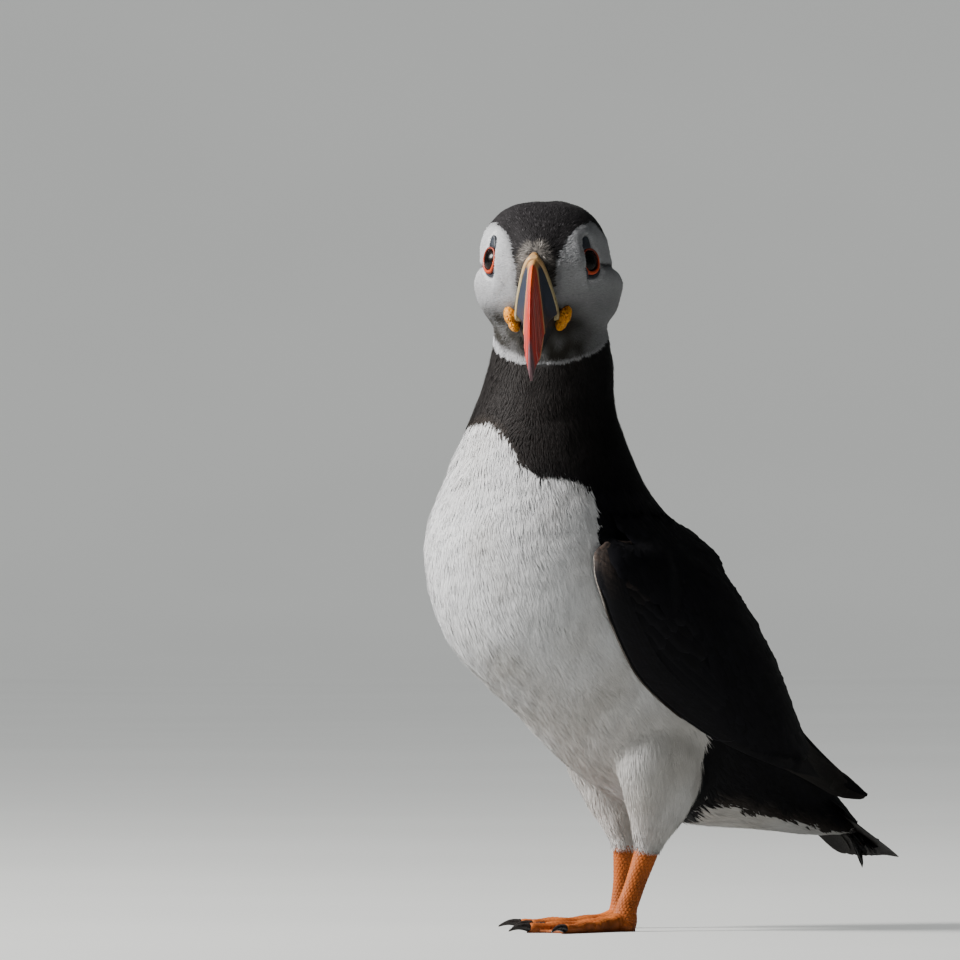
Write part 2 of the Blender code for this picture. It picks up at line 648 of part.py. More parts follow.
def stand_on_origin():
    """Moves the bird so that its box stands centred on the origin."""
    root = bpy.data.objects.new("bird", None)
    bpy.context.scene.collection.objects.link(root)
    bpy.context.view_layer.update()
    graph = bpy.context.evaluated_depsgraph_get()
    corners = []
    for made in bpy.data.objects:
        if made.type == "MESH":
            made.parent = root
            if not made.hide_render:
                mesh = made.evaluated_get(graph).to_mesh()
                places = np.empty(len(mesh.vertices) * 3, np.float32)
                mesh.vertices.foreach_get("co", places)
                corners += [places.reshape(-1, 3).min(0), places.reshape(-1, 3).max(0)]
    low, high = np.min(corners, axis=0), np.max(corners, axis=0)
    root.location = (-(low[0] + high[0]) / 2, -(low[1] + high[1]) / 2, -low[2])


def main():
    """Builds every piece."""
    clear_scene()
    body_cutter = helper(whole_body("body_room", "white feather", GAP))
    body = make_body(body_cutter)
    make_eyes(body["head"])
    make_bill(body_cutter)
    make_tail(body["tail"])
    for side, word in ((1, "left"), (-1, "right")):
        wing_room = make_wing(side, word, body_cutter)
        make_leg(side, word, (body_cutter, wing_room))
    stand_on_origin()


main()
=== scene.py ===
"""A life-size adult Atlantic puffin in breeding dress, standing upright with its head turned to its left.

The bird is worked out in millimetres in a design frame: the trunk faces -Y, the bird's left is +X, the floor
is z = 0 and the trunk's plane of symmetry is x = 0. The frame's own left eye says how far the design frame
lies from the model's frame. One skin covers the trunk, neck, head and thighs. Feathers are thin vanes rooted
on it.
"""

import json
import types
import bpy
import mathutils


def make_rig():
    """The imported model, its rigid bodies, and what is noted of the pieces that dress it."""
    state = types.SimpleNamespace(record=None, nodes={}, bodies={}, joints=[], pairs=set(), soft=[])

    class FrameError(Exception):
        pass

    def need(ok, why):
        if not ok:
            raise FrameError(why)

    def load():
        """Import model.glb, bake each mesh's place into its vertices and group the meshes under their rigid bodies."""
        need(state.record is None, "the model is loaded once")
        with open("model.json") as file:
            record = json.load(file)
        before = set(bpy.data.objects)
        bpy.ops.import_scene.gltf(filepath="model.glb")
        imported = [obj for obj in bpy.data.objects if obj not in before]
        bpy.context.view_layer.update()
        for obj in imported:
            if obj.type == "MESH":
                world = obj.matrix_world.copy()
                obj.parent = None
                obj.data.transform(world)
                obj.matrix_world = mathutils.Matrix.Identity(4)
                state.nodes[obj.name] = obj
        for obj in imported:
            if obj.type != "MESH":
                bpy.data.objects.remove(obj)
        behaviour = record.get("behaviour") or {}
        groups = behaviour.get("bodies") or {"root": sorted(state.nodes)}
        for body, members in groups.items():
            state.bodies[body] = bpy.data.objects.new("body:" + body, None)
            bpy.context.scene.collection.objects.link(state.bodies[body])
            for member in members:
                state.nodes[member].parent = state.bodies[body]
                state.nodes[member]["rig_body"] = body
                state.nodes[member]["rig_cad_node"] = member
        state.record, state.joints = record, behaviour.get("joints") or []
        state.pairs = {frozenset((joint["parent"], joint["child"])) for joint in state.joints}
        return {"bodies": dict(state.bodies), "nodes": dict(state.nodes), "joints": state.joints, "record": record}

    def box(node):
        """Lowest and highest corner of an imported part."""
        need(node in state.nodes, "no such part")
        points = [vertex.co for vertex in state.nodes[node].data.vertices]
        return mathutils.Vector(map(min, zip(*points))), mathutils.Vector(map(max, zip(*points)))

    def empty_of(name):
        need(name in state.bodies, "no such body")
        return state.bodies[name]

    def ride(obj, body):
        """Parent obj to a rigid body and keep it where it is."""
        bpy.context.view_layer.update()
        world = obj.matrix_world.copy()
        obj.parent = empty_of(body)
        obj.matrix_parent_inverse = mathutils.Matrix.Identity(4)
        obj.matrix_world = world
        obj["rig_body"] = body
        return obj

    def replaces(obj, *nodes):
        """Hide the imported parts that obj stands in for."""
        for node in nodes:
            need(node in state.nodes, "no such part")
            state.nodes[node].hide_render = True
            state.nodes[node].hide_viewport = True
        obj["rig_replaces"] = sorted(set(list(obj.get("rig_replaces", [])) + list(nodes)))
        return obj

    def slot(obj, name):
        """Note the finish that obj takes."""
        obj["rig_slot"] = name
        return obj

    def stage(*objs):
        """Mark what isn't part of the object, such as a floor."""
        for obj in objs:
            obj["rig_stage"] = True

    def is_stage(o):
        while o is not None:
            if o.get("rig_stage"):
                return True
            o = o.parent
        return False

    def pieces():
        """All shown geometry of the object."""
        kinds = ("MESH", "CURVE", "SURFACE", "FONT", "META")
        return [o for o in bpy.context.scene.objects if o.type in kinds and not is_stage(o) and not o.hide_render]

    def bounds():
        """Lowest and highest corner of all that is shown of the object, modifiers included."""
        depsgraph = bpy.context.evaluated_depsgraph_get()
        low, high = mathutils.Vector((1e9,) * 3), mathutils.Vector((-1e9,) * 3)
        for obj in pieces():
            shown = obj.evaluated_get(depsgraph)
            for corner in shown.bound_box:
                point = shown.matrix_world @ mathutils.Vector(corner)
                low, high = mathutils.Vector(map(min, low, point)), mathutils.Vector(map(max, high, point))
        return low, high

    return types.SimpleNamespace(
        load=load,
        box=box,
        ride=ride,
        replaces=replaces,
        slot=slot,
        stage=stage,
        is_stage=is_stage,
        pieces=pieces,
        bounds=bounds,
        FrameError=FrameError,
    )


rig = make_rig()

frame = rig.load()
frame_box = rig.bounds()

import json
import logging
from collections.abc import Callable, Iterator
from dataclasses import dataclass, field
from enum import Enum

import bmesh
import bpy
import numpy as np
from mathutils import Vector

log = logging.getLogger("puffin")
Array = np.ndarray
MM = 0.001


# Curves, directions and noise


def unit(vectors: Array) -> Array:
    """Scales each vector to a length of one."""
    return vectors / np.maximum(np.linalg.norm(vectors, axis=-1, keepdims=True), 1e-9)


def ease(value: Array, low: float, high: float) -> Array:
    """Rises smoothly from 0 at low to 1 at high, with a flat start and end; it falls if high is under low."""
    t = np.clip((np.asarray(value, float) - low) / (high - low), 0.0, 1.0)
    return t * t * (3.0 - 2.0 * t)


def stack(*parts: Array) -> Array:
    """Joins coordinates of matching shapes along a new last axis."""
    return np.stack(np.broadcast_arrays(*parts), -1)


def circle(count: int) -> Array:
    """Angles at even steps round a full turn."""
    return np.linspace(0, 2 * np.pi, count, endpoint=False)


def hump(offset: Array, width: Array) -> Array:
    """A bell curve of an offset: 1 at its middle and 0.37 at its width."""
    return np.exp(-((offset / width) ** 2))


def around(cells: Array, axes: int) -> Array:
    """The sum of each cell's two neighbours along each of the first axes."""
    return sum(np.roll(cells, way, axis) for axis in range(axes) for way in (-1, 1))


def smooth_through(values: Array, at: Array) -> Array:
    """Reads a smooth curve through rows of values. Each span is a cubic whose end slopes are half the step
    between the neighbouring rows.

    Args:
        values: Rows of numbers, one row for each control point.
        at: Positions along the rows, counted from 0.

    Returns:
        The interpolated rows, shaped like at with one more axis.
    """
    values = np.asarray(values, float)
    at = np.clip(np.asarray(at, float), 0, len(values) - 1)
    low = np.minimum(at.astype(int), len(values) - 2)
    t = (at - low)[..., None]
    slope = np.gradient(values, axis=0)
    start, end, leaving, arriving = values[low], values[low + 1], slope[low], slope[low + 1]
    return ((2 * t**3 - 3 * t**2 + 1) * start + (t**3 - 2 * t**2 + t) * leaving + (3 * t**2 - 2 * t**3) * end
        + (t**3 - t**2) * arriving)


def ripple(points: Array, scale: float, seed: int, waves: int = 9) -> Array:
    """Smooth noise from -1 to 1: the mean of sine waves that run in fixed random directions.

    Args:
        points: Places in millimetres.
        scale: The typical wavelength in millimetres.
        seed: Picks the set of waves.
        waves: How many waves are summed.

    Returns:
        One number for each place.
    """
    rng = np.random.default_rng(seed)
    ways = unit(rng.normal(size=(waves, 3))) * (2 * np.pi / (scale * rng.uniform(0.7, 1.5, (waves, 1))))
    phases = rng.uniform(0, 2 * np.pi, waves)
    total = np.zeros(points.shape[:-1])
    for way, phase in zip(ways, phases):
        total += np.sin(points @ way + phase)
    return total / np.sqrt(waves) * 0.9


# The bird's form


@dataclass(frozen=True)
class Form:
    """The shape of trunk, neck and head: oval rings along a spine, and rounded lobes on the head.

    A spine row is x, y, z of the ring's centre, the tilt of its axis from vertical in degrees, its half width
    and its half depth. A lobe is a centre and half sizes along the head's forward, left and up.
    """

    spine: tuple = (
        (0.0, 98.0, 33.0, 76, 3.0, 2.2),
        (0.0, 86.0, 37.5, 75, 11.0, 8.0),
        (0.0, 66.0, 47.5, 69, 20.0, 17.0),
        (0.0, 45.3, 61.0, 60, 31.0, 30.0),
        (0.0, 24.0, 78.6, 50, 37.5, 40.3),
        (0.0, 5.6, 98.0, 40, 40.5, 43.8),
        (0.0, -15.2, 116.0, 29, 41.0, 44.2),
        (0.0, -24.4, 136.0, 16, 36.8, 39.8),
        (0.0, -23.0, 155.0, 6, 29.5, 31.7),
        (0.0, -21.0, 172.0, 0, 23.7, 24.5),
        (1.0, -19.2, 188.0, 0, 20.8, 21.0),
        (5.0, -22.0, 202.0, 0, 18.0, 18.0),
        (7.3, -24.2, 214.0, 0, 14.0, 14.0),
    )
    heading: float = 52.0
    lobes: tuple = (
        ((-2.0, -0.8, 3.5), (25.5, 20.5, 22.0)),
        ((-3.0, 5.3, 8.0), (22.0, 15.2, 17.5)),
        ((-3.0, -6.8, 8.0), (22.0, 15.2, 17.5)),
        ((8.0, 0.0, 2.0), (16.0, 14.0, 16.0)),
        ((-1.5, 11.4, -3.0), (17.0, 13.4, 13.4)),
        ((-1.5, -10.6, -3.0), (17.0, 13.4, 13.4)),
        ((3.0, 0.0, -13.0), (14.5, 13.0, 12.5)),
    )
    sharpness: float = 18.0
    eye_towards: tuple = (15.0, 17.3, 8.6)
    eye_shift: float = -0.3
    eye_depth: float = 3.6
    gape: tuple = (19.0, -1.0, -12.0)
    bill_pitch: float = 27.0
    bill_yaw: float = 3.0
    neck_cut: float = -20.5
    neck_cut_tilt: float = 27.0

    def head_axes(self) -> tuple[Array, Array]:
        """Returns the head's centre, and its forward, left and up directions as rows."""
        heading = np.radians(self.heading)
        forward = (np.sin(heading), -np.cos(heading), 0.0)
        left = (np.cos(heading), np.sin(heading), 0.0)
        return np.array(self.spine[-1][:3]), np.array([forward, left, (0.0, 0.0, 1.0)])

    def head_point(self, local: Array) -> Array:
        """Turns places given along the head's forward, left and up into design places."""
        centre, axes = self.head_axes()
        return centre + np.asarray(local, float) @ axes

    def in_head(self, points: Array) -> Array:
        """Turns design places into forward, left and up from the head's centre."""
        centre, axes = self.head_axes()
        return (points - centre) @ axes.T

    def above_neck(self, points: Array) -> Array:
        """Signed distance over the slanting plane in which the head ends at the neck."""
        f, _, u = self.in_head(points).T
        tilt = np.radians(self.neck_cut_tilt)
        return f * np.sin(tilt) + (u - self.neck_cut) * np.cos(tilt)

    def bill_axes(self) -> tuple[Array, Array]:
        """Returns the gape's place, and the directions along the mouth line, left, and up across it."""
        pitch, yaw = np.radians(self.bill_pitch), np.radians(self.bill_yaw)
        along = np.array([np.cos(pitch) * np.cos(yaw), np.sin(yaw), -np.sin(pitch) * np.cos(yaw)])
        left = np.array([-np.sin(yaw) * np.cos(pitch), np.cos(yaw), np.sin(yaw) * np.sin(pitch)])
        return self.head_point(self.gape), np.array([along, left, np.cross(along,
            left)]) @ self.head_axes()[1]

    def bill_point(self, a: Array, left: Array, b: Array) -> Array:
        """Turns places in the bill's frame into design places."""
        gape, axes = self.bill_axes()
        return gape + stack(a, left, b) @ axes

    def in_bill(self, points: Array) -> Array:
        """Turns design places into along, left and up from the gape in the bill's frame."""
        gape, axes = self.bill_axes()
        return (points - gape) @ axes.T

    def lobe_reach(self, origins: Array, directions: Array) -> list[Array]:
        """Finds how far each ray runs before it leaves each lobe: the far root of the ray in the oval's own
        unit sphere, or 0 where the ray misses."""
        centre, axes = self.head_axes()
        start, along = (origins - centre) @ axes.T, directions @ axes.T
        found = []
        for middle, half in self.lobes:
            o, d = (start - middle) / half, along / half
            a, b, c = (d * d).sum(-1), (o * d).sum(-1), (o * o).sum(-1) - 1
            inside = b * b - a * c
            root = (-b + np.sqrt(np.maximum(inside, 0))) / a
            found.append(np.where(inside > 0, np.maximum(root, 0), 0))
        return found

    def joint(self, reaches: list[Array]) -> Array:
        """The joint reach of several ovals: each reach raised to a high power, summed and brought back."""
        return sum(reach**self.sharpness for reach in reaches) ** (1 / self.sharpness)

    def surface(self, at: Array, turn: Array, lift: Array = 0.0, grow: Array = 0.0) -> Array:
        """Points of the body: from the spine outwards by the joint reach of the ring's oval and the lobes,
        each raised to a high power, summed and brought back by the root.

        Args:
            at: Stations along the spine, counted from the tail.
            turn: The angle round the ring, from the belly to the bird's left.
            lift: The angle by which the ray leaves the ring's plane towards the head.
            grow: Millimetres by which the surface moves out.

        Returns:
            Design places in millimetres.
        """
        at, turn, lift = np.broadcast_arrays(at, turn, lift)
        ring = smooth_through(self.spine, at)
        centre, tilt, half_width, half_depth = ring[..., :3], np.radians(ring[..., 3]), ring[...,
            4], ring[..., 5]
        down, along = np.cos(lift) * np.cos(turn), np.sin(lift)
        direction = stack(np.cos(lift) * np.sin(turn), -np.cos(tilt) * down - np.sin(tilt) * along,
            np.cos(tilt) * along - np.sin(tilt) * down)
        oval = 1 / np.sqrt((np.cos(turn) / half_depth) ** 2 + (np.sin(turn) / half_width) ** 2)
        reach = self.joint([oval, *self.lobe_reach(centre, direction)])
        return centre + direction * (reach + grow)[..., None]

    def station_of(self, points: Array) -> tuple[Array, Array, Array]:
        """Finds where along the spine each place lies: the ring whose plane passes nearest to it.

        Args:
            points: Design places, one row each.

        Returns:
            The station, the angle round the ring from the belly to the left, and the way towards the tail.
        """
        at = np.linspace(0, len(self.spine) - 1, 241)
        ring = smooth_through(self.spine, at)
        tilt = np.radians(ring[:, 3])
        axis = stack(0.0, -np.sin(tilt), np.cos(tilt))
        station, turn, back = [], [], []
        for part in np.array_split(points, max(1, len(points) // 20000)):
            gap = np.abs(part @ axis.T - (ring[:, :3] * axis).sum(-1))
            near = gap.argmin(1)
            off = part - ring[near, :3]
            down = -off[:, 1] * np.cos(tilt[near]) - off[:, 2] * np.sin(tilt[near])
            station.append(at[near])
            turn.append(np.arctan2(off[:, 0], down))
            back.append(-axis[near])
        return np.concatenate(station), np.concatenate(turn), np.concatenate(back)

    def flank_x(self, y: Array, z: Array) -> Array:
        """The trunk's half width at a place seen from the side, or 0 outside its outline."""
        at = np.linspace(0, len(self.spine) - 2, 300)
        ring = smooth_through(self.spine, at)
        tilt = np.radians(ring[:, 3])
        dy, dz = y[..., None] - ring[:, 1], z[..., None] - ring[:, 2]
        nearest = np.abs(-dy * np.sin(tilt) + dz * np.cos(tilt)).argmin(-1)
        down = np.take_along_axis(-dy * np.cos(tilt) - dz * np.sin(tilt), nearest[..., None], -1)[..., 0]
        return ring[nearest, 4] * np.sqrt(np.maximum(1 - (down / ring[nearest, 5]) ** 2, 0))

    def eye_centre(self, side: int) -> Array:
        """The eyeball's centre: in from the head's surface along the ray to the eye."""
        towards = unit(np.array(self.eye_towards) * (1, side, 1))
        axes = self.head_axes()[1]
        reach = self.joint(self.lobe_reach(self.head_point(np.zeros(3)), towards @ axes))
        return self.head_point(towards * (reach - self.eye_depth) + (0, self.eye_shift, 0))


FORM = Form()


def design_shift() -> Array:
    """How far the design frame lies from the model's frame, in millimetres, read from the left eye's box."""
    low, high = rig.box("eye_left")
    return (np.array(low) + np.array(high)) / 2 / MM - FORM.eye_centre(1)


SHIFT = design_shift()


# Meshes


def quads(index: Array) -> Array:
    """Four-sided faces between the neighbours in a grid of point numbers."""
    near, far = index[..., :-1, :], index[..., 1:, :]
    return stack(near[..., :-1], near[..., 1:], far[..., 1:], far[..., :-1]).reshape(-1, 4)


@dataclass
class Shape:
    """A mesh as arrays: places in millimetres in the design frame, and triangles and four-sided faces."""

    points: Array
    faces: Array
    colours: Array | None = None
    normals: Array | None = None
    uvs: dict[str, Array] = field(default_factory=dict)

    @staticmethod
    def grid(points: Array, wrap_rows: bool = False, wrap_cols: bool = False) -> "Shape":
        """Joins a grid of places into four-sided faces, closing it round where asked."""
        index = np.arange(points[..., 0].size).reshape(points.shape[:2])
        return Shape(points.reshape(-1, 3), quads(np.pad(index, ((0, int(wrap_rows)), (0, int(wrap_cols))),
            "wrap")))

    @staticmethod
    def tube(rings: Array, first: Array | None = None, last: Array | None = None) -> "Shape":
        """Joins stacked rings into a closed tube, with a pole at each end; a missing pole is the end ring's
        middle."""
        body, cols = Shape.grid(rings, wrap_cols=True), rings.shape[1]
        poles = [rings[0].mean(0) if first is None else first, rings[-1].mean(0) if last is None else last]
        count, here = len(body.points), np.arange(cols)
        after, top = np.roll(here, -1), count - cols
        low, high = stack(after, here, count, -1), stack(top + here, top + after, count + 1, -1)
        return Shape(np.concatenate([body.points, poles]), np.concatenate([body.faces, low, high]))

    @staticmethod
    def join(parts: list["Shape"]) -> "Shape":
        """Puts shapes together as one mesh."""
        offsets = np.cumsum([0] + [len(part.points) for part in parts])
        faces = [np.where(part.faces >= 0, part.faces + offset, -1) for part, offset in zip(parts, offsets)]
        bare = parts[0].colours is None
        colours = None if bare else np.concatenate([part.colours for part in parts])
        uvs = {key: np.concatenate([part.uvs[key] for part in parts]) for key in parts[0].uvs}
        return Shape(np.concatenate([p.points for p in parts]), np.concatenate(faces), colours, None, uvs)

    def object(self, name: str, outward: bool = False) -> bpy.types.Object:
        """Makes the object, with one colour, normal and map place for each point.

        Args:
            name: The piece's name.
            outward: Whether to turn the faces outwards, for a closed shape.

        Returns:
            The linked object, whose mesh is in metres in the model's frame.
        """
        mesh = bpy.data.meshes.new(name)
        sizes = (self.faces >= 0).sum(1)
        corners = self.faces[self.faces >= 0]
        mesh.vertices.add(len(self.points))
        mesh.vertices.foreach_set("co", ((self.points + SHIFT) * MM).astype(np.float32).ravel())
        mesh.loops.add(len(corners))
        mesh.loops.foreach_set("vertex_index", corners.astype(np.int32))
        mesh.polygons.add(len(self.faces))
        mesh.polygons.foreach_set("loop_start", (np.cumsum(sizes) - sizes).astype(np.int32))
        mesh.update(calc_edges=True)
        if self.colours is not None:
            layer = mesh.color_attributes.new("tone", "FLOAT_COLOR", "POINT")
            rgba = np.insert(self.colours, 3, 1.0, axis=-1)
            layer.data.foreach_set("color", rgba.astype(np.float32).ravel())
        for key, places in self.uvs.items():
            mesh.uv_layers.new(name=key).uv.foreach_set("vector", places[corners].astype(np.float32).ravel())
        if outward:
            shape = bmesh.new()
            shape.from_mesh(mesh)
            bmesh.ops.recalc_face_normals(shape, faces=shape.faces)
            shape.to_mesh(mesh)
            shape.free()
        mesh.shade_smooth()
        if self.normals is not None:
            mesh.normals_split_custom_set_from_vertices(self.normals.tolist())
        made = bpy.data.objects.new(name, mesh)
        bpy.context.scene.collection.objects.link(made)
        return made


@dataclass
class SkinField:
    """Heights over the skin and its normals, near the skin, kept as the mean place and normal of the skin's
    points in each cell of a grid. Empty cells near the skin take the mean of their neighbours."""

    points: Array
    normals: Array
    cell: float = 1.5
    spread: int = 6

    def __post_init__(self) -> None:
        """Fills the cells."""
        self.low = self.points.min(0) - self.cell * (self.spread + 1)
        index = ((self.points - self.low) / self.cell).astype(int)
        self.shape = tuple(index.max(0) + self.spread + 2)
        flat = np.ravel_multi_index(index.T, self.shape)
        size = int(np.prod(self.shape))
        values = np.concatenate([np.ones((len(flat), 1)), self.points, self.normals], -1)
        cells = np.stack([np.bincount(flat, v, size) for v in values.T], -1)
        cells /= np.maximum(cells[:, :1], 1)
        cells = cells.reshape(*self.shape, 7)
        for _ in range(self.spread):
            near = around(cells, 3)
            near /= np.maximum(near[..., :1], 1)
            cells = np.where(cells[..., :1] > 0, cells, near)
        self.cells = cells.reshape(-1, 7)

    def read(self, places: Array) -> tuple[Array, Array]:
        """Height over the skin and normal at places near it: the weighted mean over the eight cells around.

        Args:
            places: Design places in millimetres.

        Returns:
            The heights and the unit normals.
        """
        at = (places - self.low) / self.cell - 0.5
        at = np.clip(at, 0, np.array(self.shape) - 2.001)
        base = at.astype(int)
        part = at - base
        weight, height, normal = 0.0, 0.0, 0.0
        for corner in np.ndindex(2, 2, 2):
            share = np.prod(np.where(corner, part, 1 - part), -1)
            found = self.cells[np.ravel_multi_index((base + corner).T, self.shape)]
            share = share * (found[:, 0] > 0) + 1e-12
            weight = weight + share
            height = height + share * ((places - found[:, 1:4]) * found[:, 4:]).sum(-1)
            normal = normal + share[:, None] * found[:, 4:]
        return height / weight, unit(normal)

    def lay(self, places: Array, height: Array) -> tuple[Array, Array]:
        """Moves places along the skin's normals to stand at that height over it, and returns the normals."""
        for _ in range(2):
            now, normal = self.read(places)
            places = places + normal * (height - now)[:, None]
        return places, normal


# Colours and markings


class Tone(Enum):
    """The bird's feather colours, as linear red, green and blue; the lower belly's tone holds painted shade and the
    wrist's tone a painted sheen.
    """

    BLACK = (0.0055, 0.0055, 0.0068)
    CROWN = (0.022, 0.0205, 0.022)
    COLLAR = (0.026, 0.0235, 0.023)
    WHITE = (0.79, 0.80, 0.815)
    # painted shade: the greyer, browner white of the lower belly
    BELLY_SHADE = (0.56, 0.545, 0.52)
    FACE = (0.47, 0.48, 0.50)
    CHEEK = (0.27, 0.275, 0.287)
    CHIN = (0.036, 0.033, 0.028)
    FUZZ = (0.21, 0.195, 0.18)
    BROWN = (0.055, 0.045, 0.038)
    WING = (0.0048, 0.0048, 0.0068)
    PRIMARY = (0.016, 0.0145, 0.0135)
    TAIL = (0.014, 0.0122, 0.0115)
    EDGE = (0.42, 0.38, 0.34)
    # painted sheen: the brownish glint of light along the wing's rounded wrist
    WRIST_SHEEN = (0.058, 0.042, 0.034)

    def __array__(self, dtype=None, copy=None) -> Array:
        """The colour as an array."""
        return np.array(self.value, dtype or float)


def mix(first: Array, second: Array, share: Array) -> Array:
    """Blends two colours by a share for each place."""
    share = np.asarray(share)[..., None]
    return np.asarray(first) * (1 - share) + np.asarray(second) * share


@dataclass(frozen=True)
class Markings:
    """Where the bird is black, white and grey. Each border is a signed distance in millimetres."""

    form: Form = FORM
    # height over the head's centre, and how far from the middle the face's inner border runs
    face_inner: tuple = ((-19, 0.0), (-13, 2.7), (-6, 5.4), (0, 6.1), (6, 6.4), (10, 7.4), (14, 9.1),
                         (16.3, 10.8), (17.7, 12.6), (18.6, 14.2))
    # height over the head's centre, and how far forward the face's rear border runs
    face_rear: tuple = ((-14, -12.0), (-7, -14.0), (0, -13.0), (8, -9.5), (13.4, -4.5), (15.8, -1.2),
                        (17.8, 2.6), (19.2, 5.6), (20.0, 8.0))
    face_top: float = 19.4
    # turn round the body in degrees towards the left, and the height of the collar's lower border
    collar: tuple = ((-96, 143), (-60, 152), (-28, 166.7), (0, 168.6), (13, 168.6), (32, 164.7), (37, 161.4),
                     (46, 154.4), (62, 150.5), (76, 150.4), (85, 149.3), (96, 145.6))
    back_turn: float = 99.0
    # heights, and how far back the white thigh reaches there, and how much further the right one does
    thigh_rear: tuple = (
        (27, 20.5), (31, 18.5), (40, 20.4), (51, 22.8), (64, 20.8), (72, 18.5), (85, 16), (100, 14),
    )
    right_thigh_rear: tuple = ((31, 9.7), (46, 6.3), (54, 5.0), (62, 3.5))
    # the black of the rear flank lies above a line that starts at this y and z and falls towards the tail
    flank_line: tuple = (29.0, 44.0, -0.19)

    def face(self, points: Array) -> Array:
        """Signed distance inside the pale face."""
        f, l, u = self.form.in_head(points).T
        aside = np.abs(l + 0.3 + 0.6 * ease(u, 13, 9) * ease(u, -10, -2))
        inner = aside - np.interp(u + 0.6 * ease(l, 2, -4) * ease(u, 8, 12), *np.array(self.face_inner).T)
        rear = (f - np.interp(u, *np.array(self.face_rear).T)) * 0.85
        top = self.face_top - 0.7 * ease(l, 2, -4) - u
        return np.minimum.reduce([inner, rear, top, self.form.above_neck(points) + 0.6])

    def white(self, points: Array, turn: Array) -> Array:
        """Signed distance inside the white of the breast, belly and vent."""
        degrees = np.degrees(turn)
        y, z = points[:, 1], points[:, 2]
        below_collar = np.interp(degrees, *np.array(self.collar, float).T) - z
        reach = self.back_turn - 9 * ease(z, 116, 130) + 4 * ease(z, 131, 139)
        off_back = np.radians(reach - np.abs(degrees)) * 36.0
        start, height, fall = self.flank_line
        rear_edge = np.interp(z, *np.array(self.thigh_rear).T)
        rear_edge = rear_edge + np.interp(z, *np.array(self.right_thigh_rear).T) * (points[:, 0] < 0)
        above = np.where(y > start, height + fall * (y - start) - z, -9.0)
        below_flank = np.maximum(above, (rear_edge - y) * 0.9)
        return np.minimum.reduce([below_collar, off_back, below_flank])

    def crease(self, points: Array, front: float) -> tuple[Array, Array]:
        """The crease behind each eye, which falls from the eye's rear corner towards the nape: each place's
        height over it, and how fully the place is beside it, fading ahead of it by front."""
        f, l, u = self.form.in_head(points).T
        along = ease(f, -13, -7) * ease(f, front, 8) * ease(np.abs(l), 9, 14)
        return u - (5.2 + (f - 8.0) * 0.07), along

    def bill_gap(self, points: Array) -> Array:
        """Distance from the bill's base, seen along the bill."""
        a, l, b = self.form.in_bill(points).T
        share = np.linspace(0, 1, 16)
        edge_b = -2.0 + 23.5 * share
        edge_l = 1.9 + 6.2 * (1 - share**1.5)
        gap = np.hypot(np.abs(l)[:, None] - edge_l, b[:, None] - edge_b).min(1)
        return gap + np.maximum(np.abs(a + 2) - 6, 0)

    def tone(self, points: Array, turn: Array, jitter: Array = 0.0, soft: float = 0.5,
            face_shift: float = 0.0) -> Array:
        """The colour of a feather rooted at each place.

        Args:
            points: Design places.
            turn: The angle round the body from the belly to the left.
            jitter: Millimetres by which each border is shifted.
            soft: Half the width of each border's blend.
            face_shift: Millimetres by which the pale face is drawn in.

        Returns:
            One linear colour for each place.
        """
        f, l, u = self.form.in_head(points).T
        z = points[:, 2]
        cloud = ripple(points, 22.0, 5)
        fine = ripple(points, 5.0, 6)
        dark = mix(Tone.BLACK, Tone.COLLAR, ease(z, 146, 160) * ease(u, 2, -14)
            * ease(np.abs(turn), 2.3, 1.1))
        dark = mix(dark, Tone.CROWN, ease(u, 2, 12) * ease(f, -24, -6))
        # the brownish tint along the collar's lower border is its own colour; that it lies only on the front and the
        # bird's right, the side towards the light, is painted light
        brown = ease(self.white(points, turn), -4.5, -0.3) * ease(z, 138, 150) * ease(turn, 1.0, 0.5)
        dark = mix(dark, Tone.BROWN, 0.6 * brown)
        fuzz = ease(self.bill_gap(points) + jitter, 2.9, 0.2) * ease(u, -6, 3) * (0.35 + 0.5 * ease(u, 4, 9))
        dark = mix(dark, Tone.FUZZ, fuzz * (1 + 0.3 * fine))
        # painted shade: the white grows greyer and browner towards the bottom of the belly
        white = mix(Tone.WHITE, Tone.BELLY_SHADE, np.clip(ease(z, 112, 62) * 0.8 + 0.25 * cloud, 0, 1))
        # painted shade: faint darker bands across the white, the shade of rows of feathers
        white = white * (1 - 0.10 * ease(ripple(points * (1, 1, 0.35), 4.5, 7), -0.1, 1.0))[:, None]
        rim = self.form.above_neck(points)
        face = mix(Tone.FACE, Tone.CHEEK, np.clip(ease(u, 6, -12) * 0.75 + 0.2 * cloud, 0, 1))
        right = ease(l, -3, -9)
        off_chin = np.hypot(np.maximum(np.abs(l + 0.3) - 5.0, 0) / (13.0 - 2.5 * right),
            (u + 17.0) / np.where(u < -17, 30, 11.5))
        off_chin = off_chin + 0.03 * cloud
        chin = ease(off_chin, 1.15, 0.35) * ease(f, -11, 3) * 0.9
        jaw = 0.95 * right * ease(u, -6, -12) * ease(f, -18, -8)
        chin = np.maximum(chin, jaw * (0.9 + 0.12 * fine + 0.5 * np.asarray(jitter)))
        low = 0.9 + 2.7 * right
        face = mix(face, Tone.CHIN, np.clip(chin * (1.0 + 0.12 * fine), 0, 1) * ease(rim, 0.15 * low, low))
        # the pale rim along the face's lower edge is its own colour; that it is far paler on the bird's right, the
        # side towards the light, is painted light
        face = mix(face, np.array(Tone.FACE) * 1.15, (0.12 + 0.73 * right)
            * ease(rim, 0.9 + 2.2 * right, 0.5))
